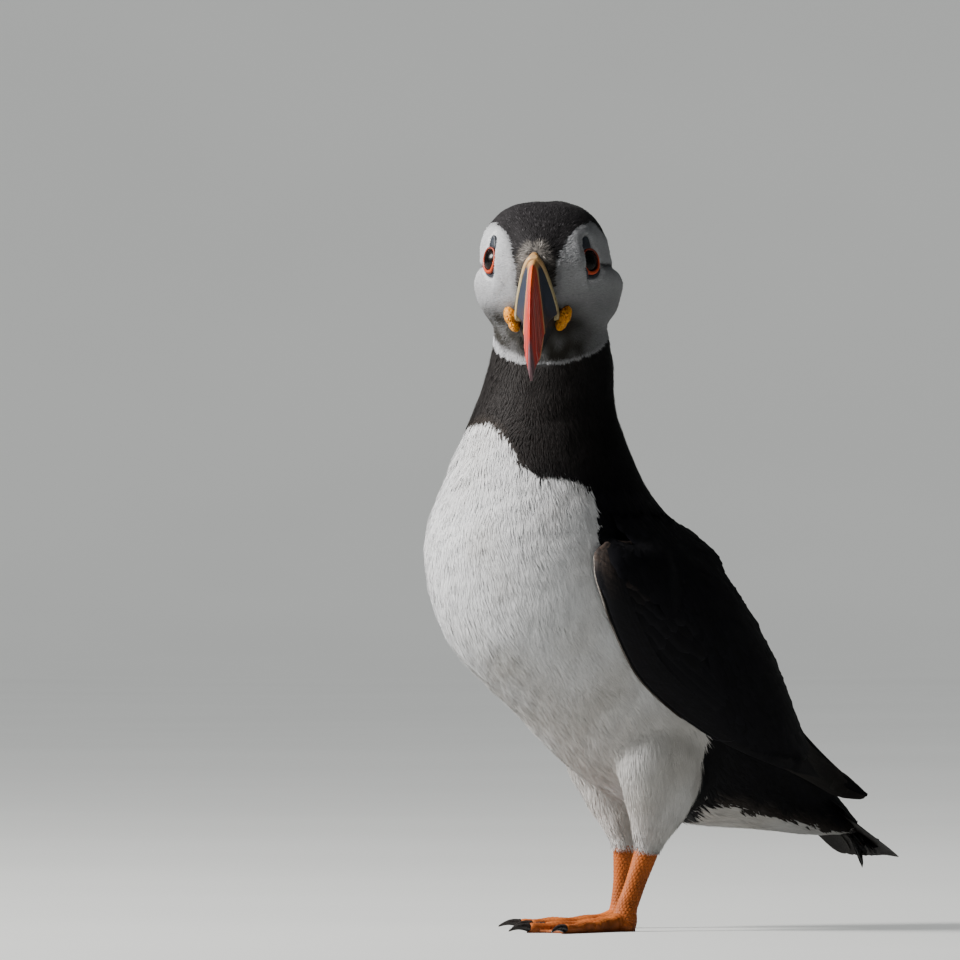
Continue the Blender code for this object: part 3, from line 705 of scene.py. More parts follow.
        # painted shade: the face darker on the bird's left and low down, the side turned from the light
        face = face * (1 - 0.28 * ease(l, 3, 13) * ease(u, 2, -11))[:, None]
        speckle = ease(self.face(points), 2.2, 0.2) * ease(u, -12, -2)
        face = face * (1 - 0.35 * speckle)[:, None]
        over, along = self.crease(points, 11)
        face = face * (1 - 0.8 * hump(over, 0.7) * along)[:, None]
        inside_face = ease(self.face(points) - face_shift + 0.25 * np.asarray(jitter), -soft, soft)
        inside_white = ease(self.white(points, turn) + 0.7 * np.asarray(jitter), -2 * soft, 2 * soft)
        return mix(mix(dark, white, inside_white), face, inside_face)


MARKINGS = Markings()


# Finishes


class Nodes:
    """Adds nodes to a shader tree and wires them."""

    def __init__(self, tree: bpy.types.NodeTree) -> None:
        """Keeps the tree."""
        self.tree = tree

    def wire(self, node: bpy.types.Node, inputs: dict) -> bpy.types.Node:
        """Sets a node's inputs, by name or number, to values, or links them to output sockets."""
        for key, value in inputs.items():
            if isinstance(value, bpy.types.NodeSocket):
                self.tree.links.new(value, node.inputs[key])
            else:
                node.inputs[key].default_value = value
        return node

    def add(self, kind: str, inputs: dict | None = None, **settings: object) -> bpy.types.Node:
        """Adds a node of a type, given without its ShaderNode start, with its inputs and settings."""
        node = self.tree.nodes.new("ShaderNode" + kind)
        for key, value in settings.items():
            setattr(node, key, value)
        return self.wire(node, inputs or {})

    def value(self, operation: str, *inputs: object) -> bpy.types.NodeSocket:
        """A Math node's result."""
        return self.add("Math", dict(enumerate(inputs)), operation=operation).outputs[0]

    def swing(self, pattern: object, amount: object) -> bpy.types.NodeSocket:
        """A pattern from 0 to 1, taken from its middle and multiplied."""
        return self.value("MULTIPLY", self.value("SUBTRACT", pattern, 0.5), amount)

    def scaled(self, colour: object, gain: object) -> bpy.types.NodeSocket:
        """A colour multiplied by a number."""
        return self.add("VectorMath", {0: colour, "Scale": gain}, operation="SCALE").outputs[0]

    def span(self, value: object, low: float, high: float, to_low: float,
            to_high: float) -> bpy.types.NodeSocket:
        """Maps a value from one span to another, smoothly and clamped."""
        inputs = {0: value, 1: low, 2: high, 3: to_low, 4: to_high}
        return self.add("MapRange", inputs, interpolation_type="SMOOTHSTEP").outputs[0]

    def noise(self, place: object, scale: object, detail: float = 2.0) -> bpy.types.NodeSocket:
        """A noise pattern's value from 0 to 1."""
        return self.add("TexNoise", {"Vector": place, "Scale": scale, "Detail": detail}).outputs[0]

    def put_out(self, tone: object, swing: object, rough: object, height: object) -> bpy.types.NodeTree:
        """Ends a surface group: the tone made brighter by twice the swing, the roughness and the height."""
        gain = self.value("ADD", 1.0, self.value("MULTIPLY", swing, 2.0))
        found = {"Colour": self.scaled(tone, gain), "Roughness": rough, "Height": height}
        self.wire(self.tree.nodes.new("NodeGroupOutput"), found)
        return self.tree

    def shade(self, colour: object, rough: object, bump: dict, sockets: dict) -> None:
        """Feeds the Principled shader its colour, roughness and bump, and sets its plain sockets."""
        made = {"Base Color": colour, "Roughness": rough, "Normal": self.add("Bump", bump).outputs[0]}
        self.wire(self.tree.nodes["Principled BSDF"], made | sockets)


def surface_group(name: str, inputs: dict) -> tuple[Nodes, bpy.types.NodeOutputs, bpy.types.NodeSocket]:
    """Makes a shader node group that puts out a colour, a roughness and a height.

    Args:
        name: The group's name.
        inputs: Its numbers' names and default values, besides the tone.

    Returns:
        The group's node helper, its inputs' sockets, and places in object space.
    """
    tree = bpy.data.node_groups.new(name, "ShaderNodeTree")
    for key, value in ({"Tone": (1.0, 1.0, 1.0, 1.0)} | inputs).items():
        kind = "NodeSocketFloat" if isinstance(value, float) else "NodeSocketColor"
        tree.interface.new_socket(key, in_out="INPUT", socket_type=kind).default_value = value
    for key, kind in (("Colour", "Color"), ("Roughness", "Float"), ("Height", "Float")):
        tree.interface.new_socket(key, in_out="OUTPUT", socket_type="NodeSocket" + kind)
    n = Nodes(tree)
    return n, tree.nodes.new("NodeGroupInput").outputs, n.add("TexCoord").outputs["Object"]


def barbs_group() -> bpy.types.NodeTree:
    """Feather barbs: fine flecks over the tone, a height for bumps, and dark feathers glossier than pale
    ones."""
    n, given, place = surface_group("feather barbs", {"Fleck": 0.15, "Gloss": 0.0})
    fine, broad = n.noise(place, 2600.0, 3.0), n.noise(place, 260.0)
    both = n.value("ADD", n.value("MULTIPLY", fine, 0.65), n.value("MULTIPLY", broad, 0.35))
    pale = n.add("RGBToBW", {0: given["Tone"]}).outputs[0]
    rough = n.value("SUBTRACT", n.span(pale, 0.02, 0.4, 0.62, 0.88), given["Gloss"])
    rough = n.value("ADD", rough, n.swing(fine, 0.16))
    return n.put_out(given["Tone"], n.swing(both, given["Fleck"]), rough, fine)


def grain_group() -> bpy.types.NodeTree:
    """Horn grain: cloudy shifts of the colour with fine pits and scratches, a roughness and a height."""
    n, given, place = surface_group("horn grain", {"Scale": 900.0, "Cloud": 0.3, "Roughness": 0.35})
    fine, broad = n.noise(place, given["Scale"], 4.0), n.noise(place, 190.0, 3.0)
    flecks = n.swing(fine, n.value("MULTIPLY", given["Cloud"], 0.7))
    swing = n.value("ADD", n.swing(broad, given["Cloud"]), flecks)
    return n.put_out(given["Tone"], swing, n.value("ADD", given["Roughness"], n.swing(fine, 0.3)), fine)


def plain_material(name: str) -> tuple[bpy.types.Material, Nodes]:
    """A new material and its node helper."""
    made = bpy.data.materials.new(name)
    made.use_nodes = True
    return made, Nodes(made.node_tree)


def toned_material(name: str, group: bpy.types.NodeTree, inputs: dict) -> tuple:
    """A material whose tone attribute goes through a shared group, its node helper and the group's
    outputs."""
    made, n = plain_material(name)
    tone = n.add("Attribute", attribute_name="tone").outputs["Color"]
    return made, n, n.add("Group", {"Tone": tone} | inputs, node_tree=group).outputs


@dataclass(frozen=True)
class FeatherFinish:
    """Feathers coloured by their tone attribute."""

    name: str
    fleck: float = 0.16
    gloss: float = 0.0
    sheen: float = 0.04
    specular: float = 0.10
    bump: float = 0.2

    def material(self, barbs: bpy.types.NodeTree) -> bpy.types.Material:
        """Builds the material."""
        made, n, lit = toned_material(self.name, barbs, {"Fleck": self.fleck, "Gloss": self.gloss})
        bump = {"Height": lit["Height"], "Strength": self.bump, "Distance": 0.0002}
        sockets = {"Sheen Weight": self.sheen, "Sheen Roughness": 0.4, "Specular IOR Level": self.specular}
        n.shade(lit["Colour"], lit["Roughness"], bump, sockets)
        return made


@dataclass(frozen=True)
class HornFinish:
    """Horn, claw, skin or eye, coloured by its tone attribute with the horn grain over it."""

    name: str
    scale: float = 900.0
    cloud: float = 0.15
    roughness: float = 0.35
    specular: float = 0.5
    coat: float = 0.0
    subsurface: float = 0.0
    bump: float = 0.2

    def material(self, grain: bpy.types.NodeTree) -> bpy.types.Material:
        """Builds the material."""
        inputs = {"Scale": self.scale, "Cloud": self.cloud, "Roughness": self.roughness}
        made, n, lit = toned_material(self.name, grain, inputs)
        bump = {"Height": lit["Height"], "Strength": self.bump, "Distance": 0.0001}
        sockets = {"Specular IOR Level": self.specular, "Coat Weight": self.coat, "Coat Roughness": 0.06,
            "Subsurface Weight": self.subsurface, "Subsurface Radius": (1.0, 0.35, 0.15),
            "Subsurface Scale": 0.001}
        n.shade(lit["Colour"], lit["Roughness"], bump, sockets)
        return made


@dataclass(frozen=True)
class QuillFinish:
    """Long feathers: the tone attribute with slanting barbs drawn along the feather's own map."""

    name: str
    gloss: float = 0.1
    specular: float = 0.10

    def material(self, barbs: bpy.types.NodeTree) -> bpy.types.Material:
        """Builds the material. The barbs are waves across lines that slant away from the shaft."""
        made, n, lit = toned_material(self.name, barbs, {"Fleck": 0.2, "Gloss": self.gloss})
        aside, along, _ = n.add("SeparateXYZ", {0: n.add("UVMap", uv_map="barb").outputs[0]}).outputs
        slant = n.value("SUBTRACT", along, n.value("MULTIPLY", n.value("ABSOLUTE", aside), 1.3))
        wave = n.value("SINE", n.value("MULTIPLY", slant, 14.0))
        colour = n.scaled(lit["Colour"], n.span(wave, -1.0, 1.0, 0.8, 1.12))
        bump = {"Height": wave, "Strength": 0.25, "Distance": 0.0001}
        n.shade(colour, lit["Roughness"], bump, {"Specular IOR Level": self.specular, "Sheen Weight": 0.02})
        return made


# The skin and its coat


def shoulder_dip(z: Array) -> Array:
    """How far the back is sunk between the shoulders at each height."""
    return 1.6 * hump(z - 126.0, 8.0) + 1.4 * hump(z - 101.0, 13.0)


@dataclass
class Ground:
    """A surface that feathers are rooted in: its places and faces, and what follows from them: each place's
    normal, station along the spine, turn round it and way towards the tail."""

    points: Array
    faces: Array

    def __post_init__(self) -> None:
        """Works out what follows."""
        corner = self.points[self.faces]
        flat = np.cross(corner[:, 2] - corner[:, 0], corner[:, 3] - corner[:, 1])
        total = np.zeros_like(self.points)
        for i in range(4):
            for axis in range(3):
                total[:, axis] += np.bincount(self.faces[:, i], flat[:, axis], len(self.points))
        self.normals = unit(total)
        self.station, self.turn, self.back = FORM.station_of(self.points)

    def scatter(self, inside: Array, spacing: float, rng: np.random.Generator) -> dict[str, Array]:
        """Spreads roots evenly at random over part of the ground: each face gets the whole number by which
        the running total of its area over the spacing squared grows.

        Args:
            inside: Which of the ground's points belong.
            spacing: The mean distance between roots.
            rng: The source of randomness.

        Returns:
            The roots' points, normals, turn, station and the way towards the tail.
        """
        faces = self.faces[inside[self.faces].sum(1) >= 3]
        corner = self.points[faces]
        area = 0.5 * np.linalg.norm(np.cross(corner[:, 2] - corner[:, 0], corner[:, 3] - corner[:, 1]),
            axis=1)
        total = np.floor(np.concatenate([[0], np.cumsum(area / spacing**2)]) + 0.5).astype(int)
        pick = np.repeat(np.arange(len(faces)), np.diff(total))
        p, q = rng.uniform(size=(2, len(pick)))
        weights = stack((1 - p) * (1 - q), p * (1 - q), p * q, (1 - p) * q)
        corners = faces[pick]

        def read(values: Array) -> Array:
            """Mixes the corners' values."""
            found = values[corners]
            return (found * (weights if found.ndim == 2 else weights[..., None])).sum(1)

        flat = self.turn[corners[:, 0]]
        turned = flat + ((self.turn[corners] - flat[:, None] + np.pi) % (2 * np.pi) - np.pi).mean(1)
        return {"points": read(self.points), "normals": unit(read(self.normals)), "turn": turned,
            "station": read(self.station), "back": read(self.back)}


@dataclass
class Skin:
    """The one skin of trunk, neck, head and thighs, which lies under the feathers' tips by the coat's
    depth."""

    form: Form = FORM
    voxel: float = 1.1
    rows_per_station: int = 18
    cols: int = 200
    # station along the spine, and the coat's depth there
    depths: tuple = ((0, 0.5), (1, 1.0), (2, 1.4), (5, 1.7), (8, 1.6), (9.5, 1.3), (11, 0.85), (12, 0.7))
    thigh_depth: float = 1.3
    # rings of each thigh: z, centre x, centre y, half width, half depth
    thighs: tuple = (
        ("left", ((84, 17.0, 12.0, 8.0, 12.0), (72, 19.5, 13.0, 11.0, 15.5), (62, 20.5, 12.8, 12.8, 17.0),
                  (54, 20.5, 11.8, 12.0, 16.5), (46, 20.0, 11.8, 10.0, 14.5), (38, 19.0, 11.0, 8.0, 11.0),
                  (31, 17.8, 9.2, 5.8, 7.2), (26.6, 17.0, 8.3, 4.1, 5.0))),
        ("right", ((84, -18.0, 16.0, 8.0, 12.0), (72, -21.0, 16.0, 11.0, 15.5), (62, -22.5, 16.3, 12.8, 17.0),
                   (54, -22.0, 16.8, 12.0, 16.5), (46, -20.2, 18.1, 10.0, 14.5), (38, -18.0, 19.0, 8.0, 11.0),
                   (31, -16.3, 18.9, 5.8, 7.2), (26.6, -15.0, 18.7, 4.1, 5.0))),
    )
    crease_depth: float = 1.0
    # the thighs' cut ends lie lower than this, with a normal that falls more than this, ahead of this y
    cut: tuple = (29.5, -0.55, 30.0)
    ground: Ground | None = None
    field: SkinField | None = None

    def body(self) -> Shape:
        """The trunk, neck and head: rings from the tail coverts to the crown's pole."""
        last = len(self.form.spine) - 1
        turn = circle(self.cols)
        at = np.linspace(0, last, last * self.rows_per_station + 1)[:, None]
        depth = np.interp(at, *np.array(self.depths).T)
        tube = self.form.surface(at, turn, 0.0, -depth)
        lifts = np.linspace(0, np.pi / 2, 41)[1:-1, None]
        top = self.depths[-1][1]
        crown = self.form.surface(float(last), turn, lifts, -top)
        pole = self.form.surface(float(last), 0.0, np.pi / 2, -top)
        tail_pole = np.array(self.form.spine[0][:3]) + (0.0, 1.2, -0.4)
        return Shape.tube(np.concatenate([tube, crown]), tail_pole, pole)

    def thigh(self, rings: tuple) -> Shape:
        """A thigh: level ovals through the ring table, shrunk by the coat's depth."""
        z, x, y, width, depth = smooth_through(rings, np.linspace(0, len(rings) - 1, 60)).T[..., None]
        turn, shrink = circle(64), self.thigh_depth
        return Shape.tube(stack(x + (width - shrink) * np.sin(turn), y + (depth - shrink) * np.cos(turn), z))

    def thigh_share(self, points: Array) -> Array:
        """How much of each place belongs to a thigh: 1 on it, falling to 0 by a quarter outside."""
        share = np.zeros(len(points))
        for _, rings in self.thighs:
            table = np.array(rings)[::-1]
            x, y, w, d = (np.interp(points[:, 2], table[:, 0], table[:, i]) for i in range(1, 5))
            off = np.hypot((points[:, 0] - x) / w, (points[:, 1] - y) / d)
            share = np.maximum(share, ease(off, 1.25, 1.0) * ease(points[:, 2], 84, 68))
        return share

    def carve(self, points: Array, normals: Array) -> Array:
        """Sinks a groove with a round section in the crease behind each eye, and fills the cheek under it."""
        f, l, u = self.form.in_head(points).T
        over, along = MARKINGS.crease(points, 12)
        groove, cheek = hump(over, 1.1) * along, hump(over + 5.0, 3.6) * along
        dome = 0.2 * hump(l, 5.0) * ease(u, 16, 23)
        dip = shoulder_dip(points[:, 2]) * ease(np.abs(FORM.station_of(points)[1]), 1.6, 2.0)
        points = points + normals * (0.6 * cheek + dome - self.crease_depth * groove - dip)[:, None]
        lean = np.where(l > 0, ease(l, 3, 12) * ease(f, 10, 4) * ease(u, -14, -5),
            ease(l, -3, -12) * ease(u, 7, 12))
        points = points - 0.75 * lean[:, None] * FORM.head_axes()[1][1]
        for side in (1, -1):
            points = EyeSet(side).socket(points)
        return points

    def build(self) -> Shape:
        """Joins body and thighs with a voxel remesh, smooths and carves the result and colours it."""
        rough = Shape.join([self.body(), *[self.thigh(rings) for _, rings in self.thighs]])
        made = rough.object("rough_skin", outward=True)
        remesh = made.modifiers.new("one surface", "REMESH")
        remesh.mode = "VOXEL"
        remesh.voxel_size = self.voxel * MM
        smooth = made.modifiers.new("soft folds", "SMOOTH")
        smooth.factor = 0.5
        smooth.iterations = 12
        mesh = made.evaluated_get(bpy.context.evaluated_depsgraph_get()).to_mesh()
        points, normals = np.empty((2, len(mesh.vertices), 3), np.float32)
        corners = np.empty(len(mesh.loops), np.int32)
        mesh.vertices.foreach_get("co", points.ravel())
        mesh.vertex_normals.foreach_get("vector", normals.ravel())
        mesh.loops.foreach_get("vertex_index", corners)
        points, normals = points.astype(float) / MM - SHIFT, normals.astype(float)
        bpy.data.objects.remove(made)
        self.ground = Ground(self.carve(points, normals), corners.reshape(-1, 4))
        points, normals = self.ground.points, self.ground.normals
        z, facing, y = self.cut
        keep = (points[:, 2] >= z) | (normals[:, 2] >= facing) | (points[:, 1] >= y)
        cuff, cuff_normals = self.cuffs()
        self.field = SkinField(np.concatenate([points[keep], cuff]), np.concatenate([normals[keep],
            cuff_normals]))
        return Shape(points, self.ground.faces, MARKINGS.tone(points, self.ground.turn, soft=0.7) * 0.82)

    def cuffs(self) -> tuple[Array, Array]:
        """Places and normals of an unseen sleeve under each thigh, which the lowest feathers hang along."""
        turn = circle(60)
        places, normals = [], []
        for _, rings in self.thighs:
            z, x, y, width, depth = rings[-1]
            fall = np.linspace(0, 8, 12)[:, None]
            shrink = self.thigh_depth - 0.3 + fall * 0.06
            y = y - 0.35 * fall + (depth - shrink) * np.cos(turn)
            places.append(stack(x + (width - shrink) * np.sin(turn), y, z + 1.0 - fall).reshape(-1, 3))
            normals.append(stack(np.sin(turn), np.cos(turn), 0 * fall).reshape(-1, 3))
        return np.concatenate(places), np.concatenate(normals)


class Blade(Enum):
    """A feather's outline and rise: rows of place along it, half width and height, as shares."""

    TUFT = ((0.0, 0.32, -0.9), (0.42, 0.5, 0.45), (1.0, 0.0, 1.0))
    LOCK = ((0.0, 0.30, -0.9), (0.3, 0.5, 0.3), (0.7, 0.36, 0.75), (1.0, 0.0, 1.0))
    VANE = ((0.0, 0.24, -0.9), (0.3, 0.44, 0.2), (0.62, 0.5, 0.62), (0.86, 0.36, 0.88), (1.0, 0.0, 1.0))


@dataclass(frozen=True)
class Cover:
    """One piece of the coat: how densely its feathers stand and how big they are, in millimetres."""

    name: str
    slot: str
    spacing: float
    width: float
    length: float
    lift: float
    seed: int
    blade: Blade = Blade.TUFT
    stray: float = 0.14
    # painted shade: how much darker each feather is at its root, where the feathers over it shade it
    root_painted_shade: float = 0.18
    tone_jitter: float = 0.07
    ragged: float = 0.8
    bend: float = 0.8  # how round across a feather looks
    tint: Tone | None = None  # one colour instead of the markings, browner towards the white


@dataclass
class Coat:
    """The feathers of head, neck, trunk and thighs."""

    skin: Skin
    covers: tuple = (
        Cover("coat_face", "plumage_face", 0.27, 0.36, 1.5, 0.5, 11, ragged=0.35),
        Cover("coat_crown", "plumage_black", 0.29, 0.32, 1.7, 0.5, 12, tone_jitter=0.28, ragged=0.3),
        Cover("coat_neck", "plumage_black", 0.42, 0.4, 3.4, 0.55, 13, Blade.TUFT, 0.1, 0.18, 0.2, 0.3, 0.6),
        Cover("coat_breast", "plumage_white", 0.44, 0.46, 6.0, 0.6, 14, Blade.TUFT, 0.08, 0.05, 0.03, 0.5,
              0.22),
        Cover("coat_belly", "plumage_white", 0.48, 0.5, 6.5, 0.8, 15, Blade.TUFT, 0.12, 0.07, 0.035, 0.5,
              0.35),
        Cover("coat_thighs", "plumage_white", 0.42, 0.44, 6.5, 0.8, 16, Blade.TUFT, 0.11, 0.08, 0.035, 0.3,
              0.35),
        Cover("coat_back", "plumage_black", 1.6, 5.0, 12.5, 0.5, 17, Blade.VANE, 0.07, 0.05, 0.12, 0.5, 0.5,
              Tone.WING),
        Cover("coat_vent", "plumage_white", 0.62, 0.7, 6.5, 0.5, 19, Blade.LOCK, 0.1, 0.1, 0.04, 0.3, 0.4),
        Cover("coat_flank", "plumage_black", 0.75, 1.1, 7.5, 1.0, 18, Blade.LOCK, 0.12, 0.1, 0.15, 0.3, 0.8,
              Tone.BLACK),
    )
    wings: tuple = ()
    mantle: SkinField | None = None
    # y and z of the line down to which the shoulder feathers hang over each wing
    shoulder_line: tuple = ((-30, 146), (-22, 143), (-13, 129), (-5, 121), (5, 115.7), (12, 111), (31, 97),
        (45, 86), (60, 74))
    bill_outline: tuple = (1.9, 7.3, 20.6)  # the bill's half width at its ridge and its base, and its height
    thigh_hem: float = 24.6
    # the bill's base in the head, from chin to brow
    bill_root: tuple = ((20.0, 0.0, -15.0), (17.5, 0.0, 7.5))

    def where(self) -> dict[str, Array]:
        """Says which piece each of the skin's places belongs to."""
        s = self.skin.ground
        face = MARKINGS.face(s.points) > -0.2
        white = (MARKINGS.white(s.points, s.turn) > -0.1) & ~face
        head = FORM.above_neck(s.points) > 1.0
        thigh = self.skin.thigh_share(s.points) > 0.3
        z, y = s.points[:, 2], s.points[:, 1]
        back = np.degrees(np.abs(s.turn)) > 84
        rear = (y > 27) & (z < 74)
        bare = ~head & ~face
        return {
            "coat_face": face,
            "coat_crown": head & ~face,
            "coat_neck": bare & ~white & ~back & ~rear | bare & back & (z > 146),
            "coat_breast": white & (z > 104) & ~thigh,
            "coat_belly": white & (z <= 104) & ~thigh & (y < 40),
            "coat_thighs": thigh & ~rear | thigh & white,
            "coat_back": ~head & ~white & back & (z <= 150) & ~thigh,
            "coat_flank": ~head & ~back & rear & (MARKINGS.white(s.points, s.turn) < 0.8),
            "coat_vent": white & (y >= 36) & ~thigh,
        }

    def shoulders(self) -> tuple[Ground, Array]:
        """The upper part of both wings, and which of its places carry feathers of the mantle. It also makes
        the one field that the mantle lies on, from the back's skin and the wings' upper sides together."""
        y, z = np.meshgrid(np.arange(-30.0, 66.0, 1.2), np.arange(62.0, 146.0, 1.2), indexing="ij")
        flank = FORM.flank_x(y, z)
        above = z - np.interp(y, *np.array(self.shoulder_line, float).T)
        skin = self.skin.ground
        open_skin, covered, sheets = np.ones(len(skin.points), bool), [], []
        for wing in self.wings:
            x = wing.out(y, z) + 0.35 + 0.7 * ease(above, 20, 10)
            off = wing.off(y, z)
            down = np.maximum(ease(z, 126.5, 136.0) * ease(y, 8, 2), ease(off, -1.2, 2.1) * ease(y, 0, 4))
            x = x + (flank + 0.6 - x) * down
            sheet = Shape.grid(stack(x * wing.side, y, z))
            sheet.faces = np.roll(sheet.faces, -1, -1)[:, ::-wing.side]
            sheets.append(sheet)
            covered.append(((off == 0) | (off < 7) & ((y < 2) | (y < 30) & (flank > 17))).ravel())
            open_skin &= ~((wing.off(*skin.points.T[1:]) == 0) & (skin.points[:, 0] * wing.side > 8))
        both, covered = Shape.join(sheets), np.concatenate(covered)
        ground = Ground(both.points, both.faces)
        self.mantle = SkinField(np.concatenate([skin.points[open_skin], ground.points[covered]]),
            np.concatenate([skin.normals[open_skin], ground.normals[covered]]))
        high = (above > np.interp(y, (-12, 4), (2.5, 8.5))) & (y < 44)
        return ground, covered & np.tile(high.ravel(), len(sheets))

    def lie(self, points: Array, back: Array, normals: Array) -> Array:
        """The way feathers lie: towards the tail on the body, down on the thighs, away from the bill's base
        on the head, laid flat on the skin."""
        head = FORM.in_head(points)
        low, high = np.array(self.bill_root)
        rise = high - low
        share = np.clip(((head - low) @ rise) / (rise @ rise), 0, 1)
        away = unit(head - low - share[:, None] * rise) @ FORM.head_axes()[1]
        on_head = ease(head[:, 2], -30, -12)
        thigh = self.skin.thigh_share(points)
        down = np.array([0.0, 0.12, -1.0])
        way = back * (1 - thigh)[:, None] + down * thigh[:, None]
        way[:, 2] -= 0.3 * ease(points[:, 1], 26, 34) * ease(points[:, 2], 80, 70)
        way = way * (1 - on_head)[:, None] + away * on_head[:, None]
        return unit(way - normals * (way * normals).sum(-1)[:, None])

    def clear_of_face_parts(self, points: Array, tips: Array) -> Array:
        """Which feathers stay off the eyes, their plates and the bill's base."""
        keep = np.ones(len(points), bool)
        for side in (1, -1):
            eye = EyeSet(side)
            keep &= ~eye.covers(points, 0.15) & ~eye.covers(tips, -0.1)
        a, l, b = FORM.in_bill(points).T
        ridge, base, height = self.bill_outline
        half = ridge + (base - ridge) * (1 - np.clip(np.abs(b) / height, 0, 1) ** 1.5)
        inside_bill = (a > -6) & (np.abs(l) < half - 0.2) & (b < height - 0.2) & (b > -13.5)
        return keep & ~inside_bill & ((tips[:, 2] > self.thigh_hem) | (points[:, 1] > 30))

    def feathers(self, cover: Cover, roots: dict[str, Array]) -> Shape:
        """Lays one feather at each root."""
        rng = np.random.default_rng(cover.seed)
        points, normals = roots["points"], roots["normals"]
        count = len(points)
        flow = self.lie(points, roots["back"], normals)
        stray = rng.normal(0, cover.stray, count) + 0.22 * ripple(points, 14.0, cover.seed)
        side = np.cross(normals, flow)
        flow = flow * np.cos(stray)[:, None] + side * np.sin(stray)[:, None]
        length = cover.length * rng.uniform(0.75, 1.2, count)
        width = cover.width * rng.uniform(0.8, 1.2, count)
        lift = cover.lift * rng.uniform(0.55, 1.25, count) * (1 + 0.35 * ripple(points, 7.0, cover.seed + 40))
        keep = self.clear_of_face_parts(points, points + flow * length[:, None])
        jitter = cover.ragged * rng.normal(0, 1, count)
        tone = MARKINGS.tone(points, roots["turn"], jitter, 0.15, 4.0 * (cover.name == "coat_neck"))
        if cover.tint:
            edge = ease(MARKINGS.white(points, roots["turn"]), -5, 0) * (points[:, 2] < 62)
            tone = mix(cover.tint, Tone.BROWN, 0.45 * edge)
        if cover.name == "coat_back":
            small = 1 - 0.55 * ease(points[:, 2], 118, 146)
            length, width, lift = length * small, width * small, lift * small
            keep &= flow[:, 2] < 0.0
        if cover.name == "coat_face":
            rim = sum(EyeSet(side).covers(points, 0.85) for side in (1, -1)) > 0
            tone = np.where(rim[:, None], mix(tone, Tone.WHITE, 0.4), tone)
        tone = tone * (1 + cover.tone_jitter * rng.normal(0, 1, count)).clip(0.4, 2.2)[:, None]
        if cover.name == "coat_crown":
            fleck = rng.uniform(size=count) < 0.07
            tone = np.where(fleck[:, None], tone * 2.3 + 0.01, tone)
        unwrap = stack(roots["turn"] / (2 * np.pi) % 1, roots["station"] / 12)
        keep = np.flatnonzero(keep)
        parts = [points, flow, length, width, lift, tone, unwrap]
        field = self.mantle if cover.name == "coat_back" else self.skin.field
        return vanes(field, cover, *[part[keep] for part in parts], rng)

    def build(self) -> Iterator[tuple[Cover, Shape]]:
        """Makes every piece of the coat, one after another."""
        where = self.where()
        shoulders, raised = self.shoulders()
        for cover in self.covers:
            rng = np.random.default_rng(cover.seed + 100)
            roots = self.skin.ground.scatter(where[cover.name], cover.spacing, rng)
            if cover.name == "coat_back":
                more = shoulders.scatter(raised, cover.spacing, rng)
                roots = {name: np.concatenate([roots[name], more[name]]) for name in roots}
            log.info("%s: %d feathers", cover.name, len(roots["points"]))
            yield cover, self.feathers(cover, roots)


def vanes(field: SkinField, cover: Cover, points: Array, flow: Array, length: Array, width: Array,
        lift: Array, tone: Array, unwrap: Array, rng: np.random.Generator) -> Shape:
    """Lays feathers along a surface. Each is a strip of rows from root to tip, two places to a row, or three
    with a raised rib, and one place at the tip. Every place is set over the surface by the row's rise.

    Args:
        field: The surface's heights and normals.
        cover: The piece's settings.
        points: The roots.
        flow: The way each feather points, along the surface.
        length: Each feather's length.
        width: Each feather's width.
        lift: How high each feather's tip stands over the surface.
        tone: Each feather's colour.
        unwrap: Each root's place on the surface's unwrap, from 0 to 1.
        rng: The source of randomness.

    Returns:
        The feathers as one shape.
    """
    rows = np.array(cover.blade.value)
    cols = 2 if len(rows) < 5 else 3
    across = np.linspace(-1, 1, cols)
    along = np.append(np.repeat(rows[:-1, 0], cols), 1.0)
    aside = np.append((rows[:-1, 1:2] * across).ravel(), 0.0)
    rise = np.append(np.repeat(rows[:-1, 2], cols), 1.0)
    rib = np.append(np.tile(0.12 * (1 - np.abs(across)) * (cols > 2), len(rows) - 1), 0.0)
    count, each = len(points), len(along)
    _, normal = field.read(points)
    side = unit(np.cross(flow, normal))
    places = (points[:, None] + flow[:, None] * (along * length[:, None])[..., None]
        + side[:, None] * (aside * width[:, None])[..., None]).reshape(-1, 3)
    height = rise * lift[:, None] + rib * width[:, None] * 0.5
    places, laid = field.lay(places, height.ravel())
    turned = side[:, None] * aside[:, None] - flow[:, None] * (0.2 * (along - 0.4))[:, None]
    normals = unit(laid + cover.bend * turned.reshape(-1, 3) + rng.normal(0, 0.03, laid.shape))
    # painted shade: each feather darkens towards its root
    shade = 1 - cover.root_painted_shade * (1 - along) ** 1.5
    colours = (tone[:, None] * shade[:, None]).reshape(-1, 3).clip(0, 0.95)
    low, high = unwrap.min(0), unwrap.max(0)
    spot = 0.02 + 0.96 * (unwrap - low) / np.maximum(high - low, 1e-6)
    patch = 0.003 * stack(aside, along - 0.5)
    bake = (spot[:, None] + patch).reshape(-1, 2)
    index = np.arange((len(rows) - 1) * cols).reshape(-1, cols)
    tips = stack(index[-1, :-1], index[-1, 1:], each - 1, -1)
    faces = np.concatenate([quads(index), tips])
    faces = np.where(faces >= 0, faces + (np.arange(count) * each)[:, None, None], -1).reshape(-1, 4)
    return Shape(places, faces, colours, normals, {"OFBake": bake})


# Eyes


